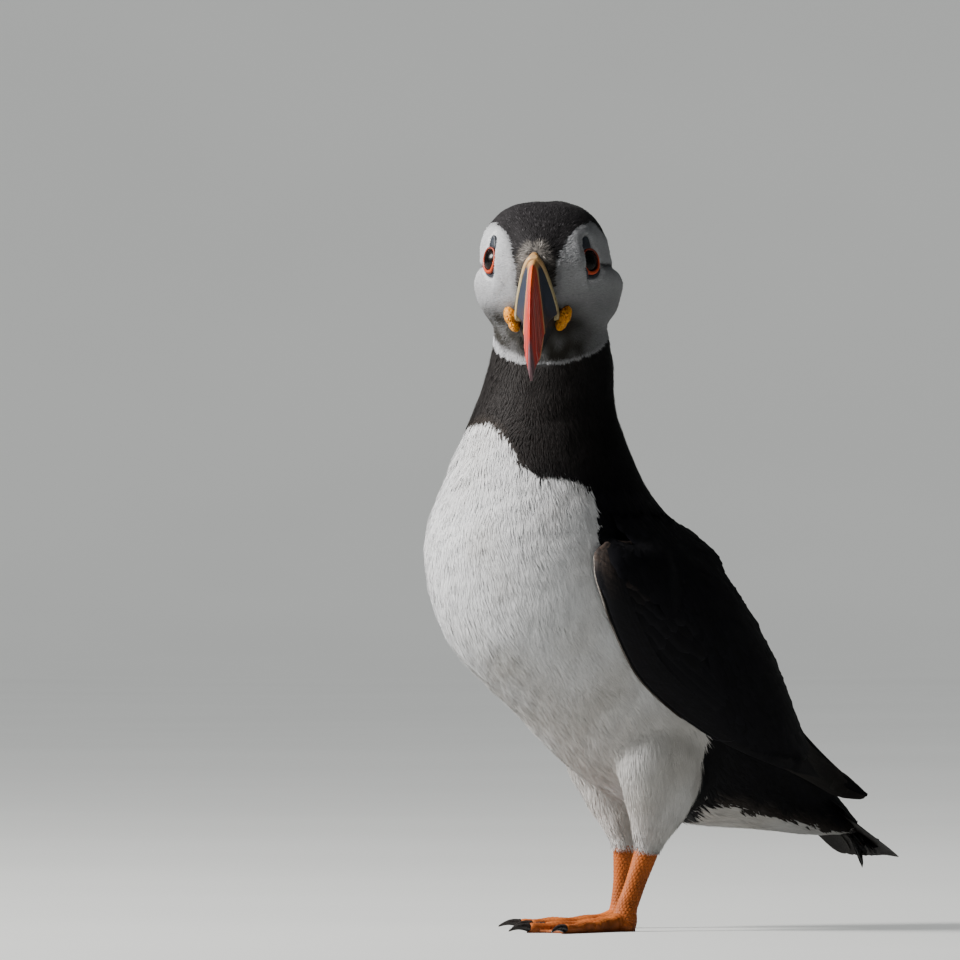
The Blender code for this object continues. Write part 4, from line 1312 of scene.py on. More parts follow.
@dataclass
class EyeSet:
    """One eye with its ring and its two horny plates, laid round the ray from the head's centre."""

    side: int
    radius: float = 5.0
    looks: tuple = (12.3, 16.1, 2.6)
    moved: tuple = (0.0, 0.2, -0.8)  # forward, outward and up from the ray's place
    sunk: float = 0.6  # how far in the eyeball lies
    socket_floor: float = 2.9  # the skin round the eye lies this far out from the eye's middle
    crest: tuple = (2.6, 1.5)  # how far the face swells in front of the left and of the right eye
    ring_radius: float = 3.75
    ring_thickness: float = 0.5
    ring_height: float = 1.04  # how much taller than wide the ring is
    ring_out: float = 3.25  # how far out from the eye's middle the ring lies where it doesn't follow the skin
    folds: int = 46
    plate_span: tuple = (3.4, 8.4)  # how high over the eye's middle the upper plate starts and ends

    def __post_init__(self) -> None:
        """Works out the eye's place and axes: outward, towards the rear, and up."""
        axes = FORM.head_axes()[1]
        self.outward = unit(np.array(self.looks) * (1, self.side, 1)) @ axes
        self.centre = FORM.eye_centre(self.side) + np.array(self.moved) * (1, self.side, 1) @ axes
        self.rear = unit(self.outward * (axes[0] @ self.outward) - axes[0])
        self.up = np.cross(self.outward, self.rear)
        self.up = self.up * np.sign(self.up[2])
        self.axes = np.array([self.rear, self.up, self.outward])

    def flat(self, points: Array) -> tuple[Array, Array, Array]:
        """Places seen straight at the eye: towards the rear, up, and outward from its centre."""
        off = points - self.centre
        return off @ self.rear, off @ self.up, off @ self.outward

    def covers(self, points: Array, margin: float) -> Array:
        """Whether places lie in the eye's ring or on a plate."""
        rear, up, out = self.flat(points)
        reach = np.hypot(rear, up)
        margin = margin - 0.35 * ease(rear, -1.0, -3.2)
        share = (up - self.plate_span[0]) / (self.plate_span[1] - self.plate_span[0])
        middle, half = self.upper_plate(np.clip(share, 0, 1))
        upper = (up > 2) & (up < self.plate_span[1] + margin) & (np.abs(rear - middle) < half + margin)
        lower = (up < -1.5) & (reach < self.lower_plate(np.degrees(np.arctan2(up, rear))) + margin)
        return (out > 0) & (reach < 12) & ((reach < self.ring_radius + 0.4 + margin) | upper | lower)

    @staticmethod
    def upper_plate(share: Array) -> tuple[Array, Array]:
        """Middle and half width of the plate over the eye, from its base to its round top."""
        return -0.5 - 0.2 * share, 2.3 * np.sqrt(1 - share**2.2) + 0.12

    @staticmethod
    def lower_plate(turn: Array) -> Array:
        """How far the plate under the eye reaches at each angle in degrees: furthest below the eye's
        front."""
        share = np.clip((turn + 158) / 136, 0.04, 0.96)
        return 4.35 + 1.9 * np.sin(np.pi * share**0.65) ** 0.6

    def socket(self, points: Array) -> Array:
        """Presses the skin round the eye down to a flat floor, which fades slowly behind, and swells the face
        in front of it: the swelling is a hump across an upright curve, gentle ahead and steep towards the
        eye."""
        rear, up, out = self.flat(points)
        reach = np.hypot(rear, up * 0.92)
        steep = ease(rear, 1.5, -3.0)
        share = ease(reach, 7.2 - 2.3 * steep, 4.7 - 0.5 * steep) * (out > 0) * (out < 9)
        ahead = rear + 4.5 - 0.02 * (up - 1.0) ** 2
        hump = np.exp(-((ahead / np.where(ahead < 0, 5.2, 0.8)) ** 2) - ((up + 1.0) / 8.5) ** 2)
        over = 1.0 * np.exp(-((rear / 5.0) ** 2) - ((up - 9.5) / 3.0) ** 2)
        drop = np.maximum(out - self.socket_floor, 0) * share
        crest = self.crest[0 if self.side > 0 else 1]
        return points + self.outward * ((crest * hump + over) * (out > 0) - drop)[:, None]

    def laid(self, rear: Array, up: Array, rise: Array, field: SkinField) -> Array:
        """Places given as seen straight at the eye, set at a height over the skin."""
        places = self.centre + stack(rear, up, 4.0) @ self.axes
        rise = np.broadcast_to(rise, places.shape[:-1]).ravel()
        return field.lay(places.reshape(-1, 3), rise)[0].reshape(places.shape)

    def ball(self) -> Shape:
        """The eyeball: rings round its outward axis, with pupil and iris tones by the angle off that axis."""
        off = np.linspace(0, np.pi * 0.62, 40)[1:, None]
        turn = circle(72)
        ring = stack(np.sin(off) * np.cos(turn), np.sin(off) * np.sin(turn), np.cos(off))
        middle = self.centre - self.outward * self.sunk
        shape = Shape.tube(middle + ring * self.radius @ self.axes, middle + self.outward * self.radius,
            middle - self.outward * 2.0)
        flat = np.hypot(*self.flat(shape.points)[:2])
        streak = 1 + 0.35 * np.sin(np.arctan2(*self.flat(shape.points)[:2]) * 23 + 3 * flat)
        iris = np.array([0.0085, 0.0045, 0.0035]) * streak[:, None]
        pupil, rim = ease(flat, 2.35, 2.15), ease(flat, 3.0, 3.35)
        shape.colours = mix(mix(iris, (0.002, 0.002, 0.002), pupil), (0.004, 0.002, 0.002), rim)
        return shape

    def ring(self, field: SkinField) -> Shape:
        """The fleshy eye ring: a round section swept about the eye, thicker below, with fine radial folds."""
        turn = circle(180)[:, None]
        round_it = circle(20)
        thick = self.ring_thickness * (1 - 0.28 * np.sin(turn))
        fold = 1 + 0.09 * np.sin(turn * self.folds) * (np.cos(round_it) > -0.2)
        reach = self.ring_radius + thick * fold * np.cos(round_it)
        rear, up = np.cos(turn), self.ring_height * np.sin(turn)
        base = self.laid(self.ring_radius * rear, self.ring_radius * up, 0.5, field)
        lift = (base - self.centre) @ self.outward * 0.4 + self.ring_out * 0.6
        out = lift + thick * fold * np.sin(round_it)
        points = self.centre + stack(reach * rear, reach * up, out) @ self.axes
        shape = Shape.grid(points, True, True)
        inner = np.broadcast_to(ease(np.cos(round_it), -0.35, -0.85), reach.shape).ravel()
        groove = np.broadcast_to(0.86 + 0.14 * np.sin(turn * self.folds), reach.shape).ravel()[:, None]
        dusky = np.broadcast_to(0.75 * ease(np.sin(turn), -0.1, 0.9), reach.shape).ravel()
        tone = mix((0.62, 0.066, 0.008), (0.17, 0.018, 0.006), dusky)
        shape.colours = mix(tone * groove, (0.06, 0.008, 0.005), inner)
        return shape

    def plate(self, edge: Array, field: SkinField, high: float) -> Shape:
        """A horny plate: a domed sheet between two edges, closed underneath.

        Args:
            edge: Rows of the plate's two edges, each as rear and up.
            field: The skin's field.
            high: How high its middle stands over the skin.
        """
        across = np.linspace(0, 1, 15)[:, None]
        seen = edge[:, :1] * (1 - across) + edge[:, 1:] * across
        along = np.linspace(-1, 1, len(edge))[:, None]
        dome = np.sqrt(np.clip(1 - (2 * across.T - 1) ** 4, 0, 1)) * np.sqrt(np.clip(1 - along**6, 0, 1))
        top = self.laid(seen[..., 0], seen[..., 1], -0.6 + (high + 0.6) * dome, field)
        under = self.laid(seen[..., 0], seen[..., 1], -1.2, field)
        return sheet_between(top, under)

    def plates(self, field: SkinField) -> Shape:
        """The upright triangle over the eye and the bar under it."""
        share = 1 - np.linspace(1, 0, 26) ** 1.5
        up = self.plate_span[0] + (self.plate_span[1] - self.plate_span[0]) * share
        middle, half = self.upper_plate(share)
        upper = self.plate(np.stack([stack(middle - half, up), stack(middle + half, up)], 1), field, 0.75)
        turn = np.linspace(-158, -22, 30)
        low = stack(np.cos(np.radians(turn)), np.sin(np.radians(turn)))
        lower = self.plate(np.stack([low * 4.25, low * self.lower_plate(turn)[:, None]], 1), field, 0.65)
        made = Shape.join([upper, lower])
        made.colours = np.array([0.030, 0.036, 0.048]) * (1 + 0.2 * ripple(made.points, 1.6, 3))[:, None]
        return made


def sheet_between(top: Array, under: Array) -> Shape:
    """A closed sheet between two grids of places of the same size."""
    rows, cols = top.shape[:2]
    upper, lower = Shape.grid(top), Shape.grid(under)
    index = np.arange(rows * cols).reshape(rows, cols)
    rim = np.concatenate([index[0, :-1], index[:-1, -1], index[-1, :0:-1], index[:0:-1, 0]])
    after = np.roll(rim, -1)
    count = rows * cols
    side = stack(after, rim, rim + count, after + count)
    faces = np.concatenate([upper.faces, lower.faces[:, ::-1] + count, side])
    return Shape(np.concatenate([upper.points, lower.points]), faces)


# The bill


@dataclass
class Bill:
    """Cere, upper and lower mandible and the two gape rosettes, in the bill's own frame: a runs out along the
    mouth line from the gape and b up across it."""

    length: float = 33.4
    culmen_height: float = 20.6
    tip_drop: float = 7.4
    gonys_depth: float = 12.8
    lower_tip_drop: float = 4.7
    lower_length: float = 27.0
    ridge_half_width: float = 1.9
    # at even steps along the bill
    half_widths: tuple = (6.9, 5.4, 4.35, 3.95, 3.6, 3.3, 3.05, 2.8, 2.45, 1.8, 1.1, 0.4)
    rosette_size: tuple = (3.1, 2.0, 4.0)
    rosette_at: tuple = (-2.3, 8.5, -1.9)
    rosette_lean: float = 24.0
    grooves: tuple = (5.6, 10.4)  # how far past the ridge each groove of the red blade lies
    slate: tuple = (0.030, 0.038, 0.060)
    red: tuple = (0.60, 0.030, 0.014)
    cream: tuple = (0.66, 0.42, 0.18)
    horn_grey: tuple = (0.12, 0.085, 0.10)
    side_points: int = 64

    def half_width(self, share: Array) -> Array:
        """The half width at the mouth line: it narrows fast from the gape to a blade, then slowly to the
        tip."""
        return smooth_through(np.array(self.half_widths)[:, None], share * 11)[..., 0]

    def upper_span(self, share: Array) -> tuple[Array, Array]:
        """The lower and upper edge: the culmen is a quarter of an oval that ends in the hooked tip."""
        high = -self.tip_drop + (self.culmen_height + self.tip_drop) * np.sqrt(np.clip(1 - share**2.1, 0, 1))
        low = -(self.tip_drop - 0.6) * share**3
        return low, np.maximum(high, low + 0.05)

    def lower_span(self, share: Array) -> tuple[Array, Array]:
        """The lower mandible's lower and upper edge: the gonys curves up to the tip, and the bill is
        closed."""
        reach = share * self.lower_length / self.length
        low = -self.lower_tip_drop - (self.gonys_depth - self.lower_tip_drop) * (1 - share**2)
        high = 0.2 - (self.tip_drop - 0.6) * reach**3
        return low, np.maximum(high, low + 0.05)

    def past_ridge(self, a: Array, b: Array) -> Array:
        """How far a place lies past the pale ridge between slate and red: the ridge is bowed, and leans back
        from the mouth line to the culmen."""
        share = np.clip(b / 18.5, 0, 1.15)
        return a - (13.0 - 9.6 * share**1.35 - 0.9 * np.sin(np.pi * np.clip(share, 0, 1)))

    def past_grooves(self, past: Array, b: Array) -> list[Array]:
        """How far each place lies past each groove, which leans out towards the culmen."""
        return [past - place - 0.05 * np.clip(b, 0, 14) for place in self.grooves]

    @staticmethod
    def streaks(past: Array) -> Array:
        """Fine growth lines that run with the ridge: waves that do not repeat, from -1 to 1."""
        return (np.sin(past * 4.3) + np.sin(past * 7.1 + 1.0) + np.sin(past * 2.3 + 2.0)) / 2.4

    def upper_relief(self, a: Array, b: Array) -> Array:
        """How far the side stands out: the raised ridge, the grooves beyond it and a low swell between
        them."""
        past = self.past_ridge(a, b)
        out = 0.24 * hump(past, 0.5) + 0.06 * self.streaks(past) * ease(past, 0.8, 3.0)
        for off in self.past_grooves(past, b):
            out = out + (0.12 * hump(off - 1.7, 1.0) - 0.25 * hump(off, 0.6)) * ease(b, 15.5, 12.0)
        return out

    def upper_tone(self, a: Array, b: Array) -> Array:
        """The upper mandible's colours by place."""
        past = self.past_ridge(a, b)
        _, high = self.upper_span(np.clip(a / self.length, 0, 1))
        near_culmen = ease(high - b, 2.6, 0.6)
        tone = mix(self.slate, self.red, ease(past, -0.2, 0.5))
        for off in self.past_grooves(past, b):
            tone = mix(tone, (0.60, 0.12, 0.07), 0.8 * hump(off + 1.3, 0.7) * ease(b, 15.5, 12.0))
            tone = mix(tone, (0.07, 0.016, 0.014), 0.85 * hump(off, 0.55) * ease(b, 15.5, 12.0))
        lined = self.streaks(past) * ease(past, 0.8, 3.0) * ease(a, 30, 26)
        # the pale pink streaks along the growth lines are the lines' own paler colour and partly a painted highlight,
        # the glint of light on their fine ridges
        tone = mix(tone, (0.70, 0.34, 0.33), 0.7 * ease(lined, 0.15, 0.85))
        tone = mix(tone, (0.12, 0.012, 0.025), 0.8 * ease(lined, -0.1, -0.8))
        tone = mix(tone, self.cream, hump(past, 0.55))
        tone = mix(tone, (0.56, 0.30, 0.11), ease(a, 4.5, 2.0) * near_culmen)
        tone = mix(tone, (0.62, 0.03, 0.01), 0.8 * ease(a, 8.0, 14.0) * ease(high - b, 3.4, 1.2))
        # the orange band along the top of the culmen is partly the bill's own orange and partly a painted highlight
        # where light falls flat on the culmen
        tone = mix(tone, (0.86, 0.115, 0.012), 0.9 * ease(a, 3.0, 5.0) * ease(a, 20, 10) * near_culmen)
        return mix(tone, self.horn_grey, 0.93 * ease(a, 27.8, 31.0))

    @staticmethod
    def past_lower_ridge(a: Array, b: Array) -> Array:
        """How far a place of the lower mandible lies past its pale ridge."""
        return a - (12.6 + 0.25 * (b + 4))

    def lower_relief(self, a: Array, b: Array) -> Array:
        """The raised ridge between slate and red, and the groove beyond it."""
        past = self.past_lower_ridge(a, b)
        return 0.3 * hump(past, 0.5) - 0.25 * hump(past - 5.0, 0.4)

    def lower_tone(self, a: Array, b: Array) -> Array:
        """The lower mandible's colours by place."""
        past = self.past_lower_ridge(a, b)
        tone = mix((0.020, 0.021, 0.024), self.red, ease(past, -0.2, 0.5))
        tone = mix(tone, self.cream, 0.85 * hump(past, 0.5))
        tone = mix(tone, (0.09, 0.02, 0.02), 0.8 * hump(past - 5.0, 0.35))
        return mix(tone, (0.72, 0.22, 0.07), 0.7 * ease(a, 18, 25))

    def side_ring(self, a: Array, low: Array, high: Array, half: Array, ridge: Array, grow: Array = 0.0,
            relief: Callable[[Array, Array], Array] | None = None) -> tuple[Array, Array, Array]:
        """Rings round the bill: up the left side and down the right. The side leans in from the mouth line to
        the far edge by a power curve, which is rounder at the base. The far edge is round, the mouth's is
        sharp.

        Args:
            a: Each ring's place along the bill, as a column.
            low: Its lower edge.
            high: Its upper edge.
            half: Its half width at the mouth line.
            ridge: Its half width at the far edge.
            grow: Millimetres by which the ring is widened.
            relief: A function of a and b for how far the sides stand out.

        Returns:
            The places in the bill's frame as a, left and b.
        """
        share = 0.5 - 0.5 * np.cos(np.linspace(0.02, np.pi - 0.02, self.side_points))
        b = low + (high - low) * share
        wide = share if (high > -low).any() else 1 - share
        wall = ridge + (half - ridge) * (1 - wide ** (1.02 + 0.43 * ease(a, 4.0, 0.0)))
        if relief is not None:
            wall = wall + relief(a, b) * np.clip(wall / 1.5, 0, 1)
        power = np.where(wide > 0.5, 6 + ease(a, 4, 0), 44)
        wall = wall * np.sqrt(np.clip(1 - np.abs(2 * share - 1) ** power, 0, 1)) + grow
        b = b + grow * (2 * share - 1)
        sides = ((a + 0 * b, 1), (wall, -1), (b, 1))
        return tuple(np.concatenate([left, sign * left[:, ::-1]], 1) for left, sign in sides)

    def shape(self, rings: tuple, tone: Callable[[Array, Array], Array]) -> Shape:
        """Closes rings into a shape and colours it."""
        made = Shape.tube(FORM.bill_point(*rings))
        made.colours = tone(*FORM.in_bill(made.points).T[::2])
        return made

    def upper(self) -> Shape:
        """The upper mandible, with its base inside the head."""
        tip = 1 - 0.1 * np.linspace(0.96, 0.02, 26) ** 1.6
        share = np.concatenate([np.zeros(3), np.linspace(0, 0.9, 96), tip])[:, None]
        low, high = self.upper_span(share)
        ridge = self.ridge_half_width * (1 - 0.56 * ease(share, 0.0, 0.17)) * (1
            - 0.4 * ease(share, 0.25, 0.8))
        a = share * self.length
        a[:3, 0] = (-6.0, -3.0, -0.5)
        rings = self.side_ring(a, low, high, self.half_width(share), ridge, 0.0, self.upper_relief)
        return self.shape(rings, self.upper_tone)

    def lower(self) -> Shape:
        """The lower mandible, with its base inside the head."""
        share = np.concatenate([np.zeros(3), np.linspace(0, 0.93, 84), np.linspace(0.94, 0.999, 14)])[:, None]
        low, high = self.lower_span(share)
        reach = share * self.lower_length / self.length
        half = self.half_width(reach) * 0.85 * ease(share, 1.03, 0.85) ** 0.5
        ridge = self.ridge_half_width * 0.45 * (1 - 0.4 * share) * ease(share, 1.03, 0.9) ** 0.5
        a = share * self.lower_length
        a[:3, 0] = (-9.0, -5.0, -1.0)
        return self.shape(self.side_ring(a, low, high, half, ridge, 0.0, self.lower_relief), self.lower_tone)

    def cere(self) -> Shape:
        """The pale ridge round the upper mandible's base: a rounded step that is highest just behind its
        front edge, with small pores."""
        profile = np.array([(-5.0, -0.5), (-3.4, 0.15), (-2.6, 0.45), (-1.8, 0.68), (-1.0, 0.76),
            (-0.35, 0.68), (0.1, 0.4), (0.25, 0.0), (0.1, -0.5)])
        steps = smooth_through(profile, np.linspace(0, len(profile) - 1, 44))
        base = np.zeros((len(steps), 1))
        low, high = self.upper_span(base)
        # the low ends run on down behind the rosettes
        a, l, b = self.side_ring(steps[:, :1], low - 1.3, high, self.half_width(base), self.ridge_half_width,
            steps[:, 1:])
        a = a - 0.02 * np.clip(b, 0, 30) * ease(b, 12, 20)
        made = Shape.tube(FORM.bill_point(a, l, b))
        pores = ease(ripple(made.points, 1.5, 21, 14), 0.75, 1.35)
        at = FORM.in_bill(made.points)
        # darker towards the cere's rear edge
        rear_dark = ease(at[:, 0], -2.2, -4.0)
        tone = mix((0.46, 0.37, 0.19), (0.24, 0.17, 0.08), np.clip(pores * 0.8 + rear_dark * 0.6, 0, 1))
        made.colours = mix(tone, (0.60, 0.33, 0.13), 0.7 * ease(at[:, 2], 12, 20.5))
        return made

    def rosette(self, side: int) -> Shape:
        """A gape rosette: an upright pad folded into meandering wrinkles, yellow with orange furrows. The pad
        is an ellipsoid whose radius is cut by valleys where a warped wave crosses zero."""
        lift = np.linspace(-np.pi / 2, np.pi / 2, 74)[1:-1, None]
        turn = circle(110)
        ball = stack(np.cos(lift) * np.cos(turn), np.cos(lift) * np.sin(turn), np.sin(lift))
        spots = ball * np.array(self.rosette_size)
        warp = ripple(spots + side * 7, 2.7, 31) * 2.1
        wave = np.sin(spots[..., 2] * 3.1 + spots[..., 0] * 1.6 + warp * 2.2)
        valley = hump(wave, 0.45)
        waist = 1 - 0.16 * hump(spots[..., 2] + 1.0, 0.9)
        places = spots * (waist * (1.12 - 0.17 * valley))[..., None]
        lean = np.radians(self.rosette_lean) * side
        turned = np.array([[1, 0, 0], [0, np.cos(lean), -np.sin(lean)], [0, np.sin(lean), np.cos(lean)]])
        a, l, b = self.rosette_at
        made = Shape.tube(FORM.bill_point(a, l * side, b) + places @ (turned @ FORM.head_axes()[1]))
        shade = np.append(valley.ravel(), [0.5, 0.5])
        made.colours = mix((0.90, 0.36, 0.004), (0.40, 0.09, 0.001), 0.85 * shade)
        return made


# Legs

# each ring of a shank: z, centre x, centre y, half width, half depth
LEFT_SHANK = ((26.2, 17.0, 8.3, 3.3, 4.4), (22, 17.2, 6.4, 2.9, 4.2), (15, 17.6, 3.1, 2.5, 3.8),
              (9, 17.9, 0.2, 2.7, 3.9), (6.4, 18.0, -1.0, 3.3, 4.0))
RIGHT_SHANK = ((26.2, -15.0, 18.7, 3.3, 4.4), (22, -15.1, 18.6, 2.9, 4.2), (15, -15.3, 18.2, 2.5, 3.8),
               (9, -15.4, 17.6, 2.7, 3.9), (6.4, -15.5, 17.2, 3.3, 4.0))


@dataclass
class Leg:
    """One leg: the scaled shank, the webbed foot and three claws."""

    word: str
    side: int
    shank_rings: tuple
    toes: tuple = ((-31.0, 26.0), (-3.0, 35.0), (24.0, 33.0))
    toe_words: tuple = ("inner", "middle", "outer")
    toe_radii: tuple = (2.6, 1.7)
    heel_radius: float = 4.4
    heel_height: float = 6.0
    heel_back: float = -1.2
    web_thickness: float = 1.2
    web_scallop: float = 0.13
    claw_length: float = 6.5
    claw_radius: float = 1.4
    shank_scale: float = 1.2045  # the size of the round scales, and the radius round which they are counted
    shank_girth: float = 3.45
    foot_scale: float = 1.15
    plate_steps: tuple = (1.9, 1.5)  # the length of a cross plate on the shank and on a toe
    knuckle_step: float = 11.0
    skin_tone: tuple = (0.46, 0.115, 0.018)
    furrow_tone: tuple = (0.20, 0.042, 0.008)

    @property
    def heel(self) -> Array:
        """The heel's place on the floor."""
        return np.array([self.shank_rings[-1][1], self.shank_rings[-1][2] + self.heel_back])

    @staticmethod
    def beads(u: Array, v: Array, size: float) -> Array:
        """Round scales in a honeycomb: 1 at each scale's middle, falling to 0 at its edge. The nearest centre
        comes from two rectangular lattices, one offset by half a step."""
        step = np.array([size, size * 1.732])
        places = stack(u, v) / step
        found = [(places - offset - np.round(places - offset)) * step for offset in (0.0, 0.5)]
        nearest = np.minimum(*(np.linalg.norm(off, axis=-1) for off in found))
        return np.clip(1 - (nearest / (size * 0.56)) ** 2, 0, 1)

    @staticmethod
    def scutes(steps: Array) -> Array:
        """Broad cross plates: 1 over each step's middle, falling to 0 at its ends."""
        return np.clip(1 - np.abs((steps % 1) * 2 - 1) ** 4, 0, 1)

    def tint(self, dome: Array, points: Array) -> Array:
        """The leg's orange, darker in the furrows between scales."""
        cloud = 1 + 0.12 * ripple(points, 9.0, 44)
        return mix(self.furrow_tone, self.skin_tone, np.sqrt(dome)) * cloud[..., None]

    def shank(self) -> Shape:
        """The shank: level ovals through the ring table, with a honeycomb of scales standing out and broad
        plates down the back."""
        _, x, y, width, depth = self.shank_rings[-1]
        ankle = ((3.4, x, y - 0.6, width + 0.5, depth + 0.6), (1.0, x, y - 1.0, width + 0.2, depth + 0.5))
        table = np.array(self.shank_rings + ankle)
        z, x, y, width, depth = smooth_through(table, np.linspace(0, len(table) - 1, 170)).T[..., None]
        z = z + np.linspace(3.5, 0, 170)[:, None] ** 2 * 0.1
        turn = circle(130)
        dome = self.beads(turn * self.shank_girth + 0.15 * np.sin(z), z, self.shank_scale)
        behind = ease(np.abs(turn - np.pi), 0.55, 0.3)
        dome = dome * (1 - behind) + self.scutes(z / self.plate_steps[0]) * behind
        rise = 0.26 * (np.sqrt(dome) - 0.55)
        ring = stack(x + (width + rise) * np.sin(turn), y - (depth + rise) * np.cos(turn), z + 0 * turn)
        made = Shape.tube(ring)
        tone = self.tint(np.sqrt(dome), ring).reshape(-1, 3)
        made.colours = np.concatenate([tone, tone[:2]])
        return made

    def outline(self, angles: Array) -> Array:
        """How far the foot reaches from its heel at each angle: heel, toes with round ends, and web."""
        reach = np.full(angles.shape, self.heel_radius)
        thin = self.toe_radii[1]
        for angle, length in self.toes:
            off = np.radians(angles - angle)
            middle = length - thin
            miss = middle * np.sin(np.abs(off))
            tip = middle * np.cos(off) + np.sqrt(np.maximum(thin**2 - miss**2, 0))
            flank = thin / np.maximum(np.sin(np.abs(off)), 1e-3)
            ahead = np.abs(off) < np.pi / 2
            reach = np.maximum(reach, np.where(ahead, np.where(miss < thin, tip, flank), 0))
        for (first, length0), (second, length1) in zip(self.toes, self.toes[1:]):
            share = (angles - first) / (second - first)
            web = (length0 + (length1 - length0) * share) * (0.96 - self.web_scallop * np.sin(np.pi * share))
            reach = np.where((share >= 0) & (share <= 1), np.maximum(reach, web), reach)
        return reach

    def foot(self) -> Shape:
        """The webbed foot as a height over the floor, round its heel: a domed heel, toes with cross plates
        and knuckles, and a thin web with small scales and faint folds."""
        near = [a + off for a, _ in self.toes for off in np.linspace(-9, 9, 55)]
        angles = np.unique(np.round([*near, *np.arange(-60.0, 300.0, 1.6)], 2))
        outline = self.outline(angles)
        share = np.linspace(0.03, 1, 84)[:, None]
        reach = share * outline
        heel = self.heel_height * np.sqrt(np.maximum(1 - (reach / (self.heel_radius * 1.05)) ** 2, 0))
        turned = np.radians(angles) * self.side
        x, y = np.sin(turned) * reach, -np.cos(turned) * reach
        web_dome = self.beads(x, y, self.foot_scale)
        fold = 0.12 * np.sin(np.radians(angles) * 60) * ease(reach, 8, 18)
        height = np.maximum(heel, self.web_thickness * 0.75 + 0.16 * web_dome + fold * 0.5)
        dome = np.where(heel > 1.5, self.beads(x, y + heel, self.foot_scale), web_dome)
        for angle, length in self.toes:
            off = np.radians(angles - angle)
            along, aside = reach * np.cos(off), reach * np.sin(off)
            radius = self.toe_radii[0] + (self.toe_radii[1] - self.toe_radii[0]) * np.clip(along / length, 0,
                1)
            radius = radius * (1 + 0.07 * np.cos(2 * np.pi * along / self.knuckle_step))
            over = np.maximum(along - (length - radius), 0)
            inside = 1 - (aside**2 + over**2) / radius**2
            scutes = self.scutes(along / self.plate_steps[1])
            toe = radius * (0.72 + np.sqrt(np.maximum(inside, 0))) + 0.16 * scutes + 2.2 * hump(along, 6.0)
            on_toe = (inside > 0) & (along > 0) & (toe > height)
            height = np.where(on_toe, toe, height)
            dome = np.where(on_toe, scutes, dome)
        rings = stack(self.heel[0] + x, self.heel[1] + y, height)
        rim = rings[-1] * (1, 1, 0)
        made = Shape.tube(np.concatenate([rings, rim[None]]), np.array([*self.heel, self.heel_height]),
            np.array([*self.heel, 0.0]))
        tone = self.tint(dome, rings)
        thin = ease(height, 2.0, 1.2)
        tone = tone * (1 - 0.18 * thin[..., None])
        flat = tone.reshape(-1, 3)
        # painted shade: the ring where the foot meets the floor and the sole's middle are 0.6 as bright
        made.colours = np.concatenate([flat, flat[-len(angles):] * 0.6, flat[:1], flat[:1] * 0.6])
        return made

    def claw(self, angle: float, length: float) -> Shape:
        """A claw: round rings that shrink along a low arc and end in a blunt point."""
        turned = np.radians(angle) * self.side
        ahead = np.array([np.sin(turned), -np.cos(turned), 0.0])
        share = np.linspace(0, 1, 26)[:, None]
        radius = self.claw_radius * (1 - 0.80 * share**1.3) * (1 + 0.12 * ease(share, 0.12, 0.0))
        out = length - 0.6 + (self.claw_length + 0.9) * share
        high = self.claw_radius * (1.15 + 0.6 * np.sin(np.pi * share) - 0.6 * share)
        turn = circle(28)
        axes = np.array([ahead, (ahead[1], -ahead[0], 0.0), (0.0, 0.0, 1.0)])
        above = np.maximum(high + radius * np.sin(turn), 0.02)
        rings = (*self.heel, 0.0) + stack(out, radius * 0.85 * np.cos(turn), above) @ axes
        made = Shape.tube(rings)
        made.colours = np.array([0.022, 0.019, 0.018]) * (1 + 0.3 * ripple(made.points * (1, 1, 3), 2.0,
            9))[:, None]
        return made


# Wings and tail


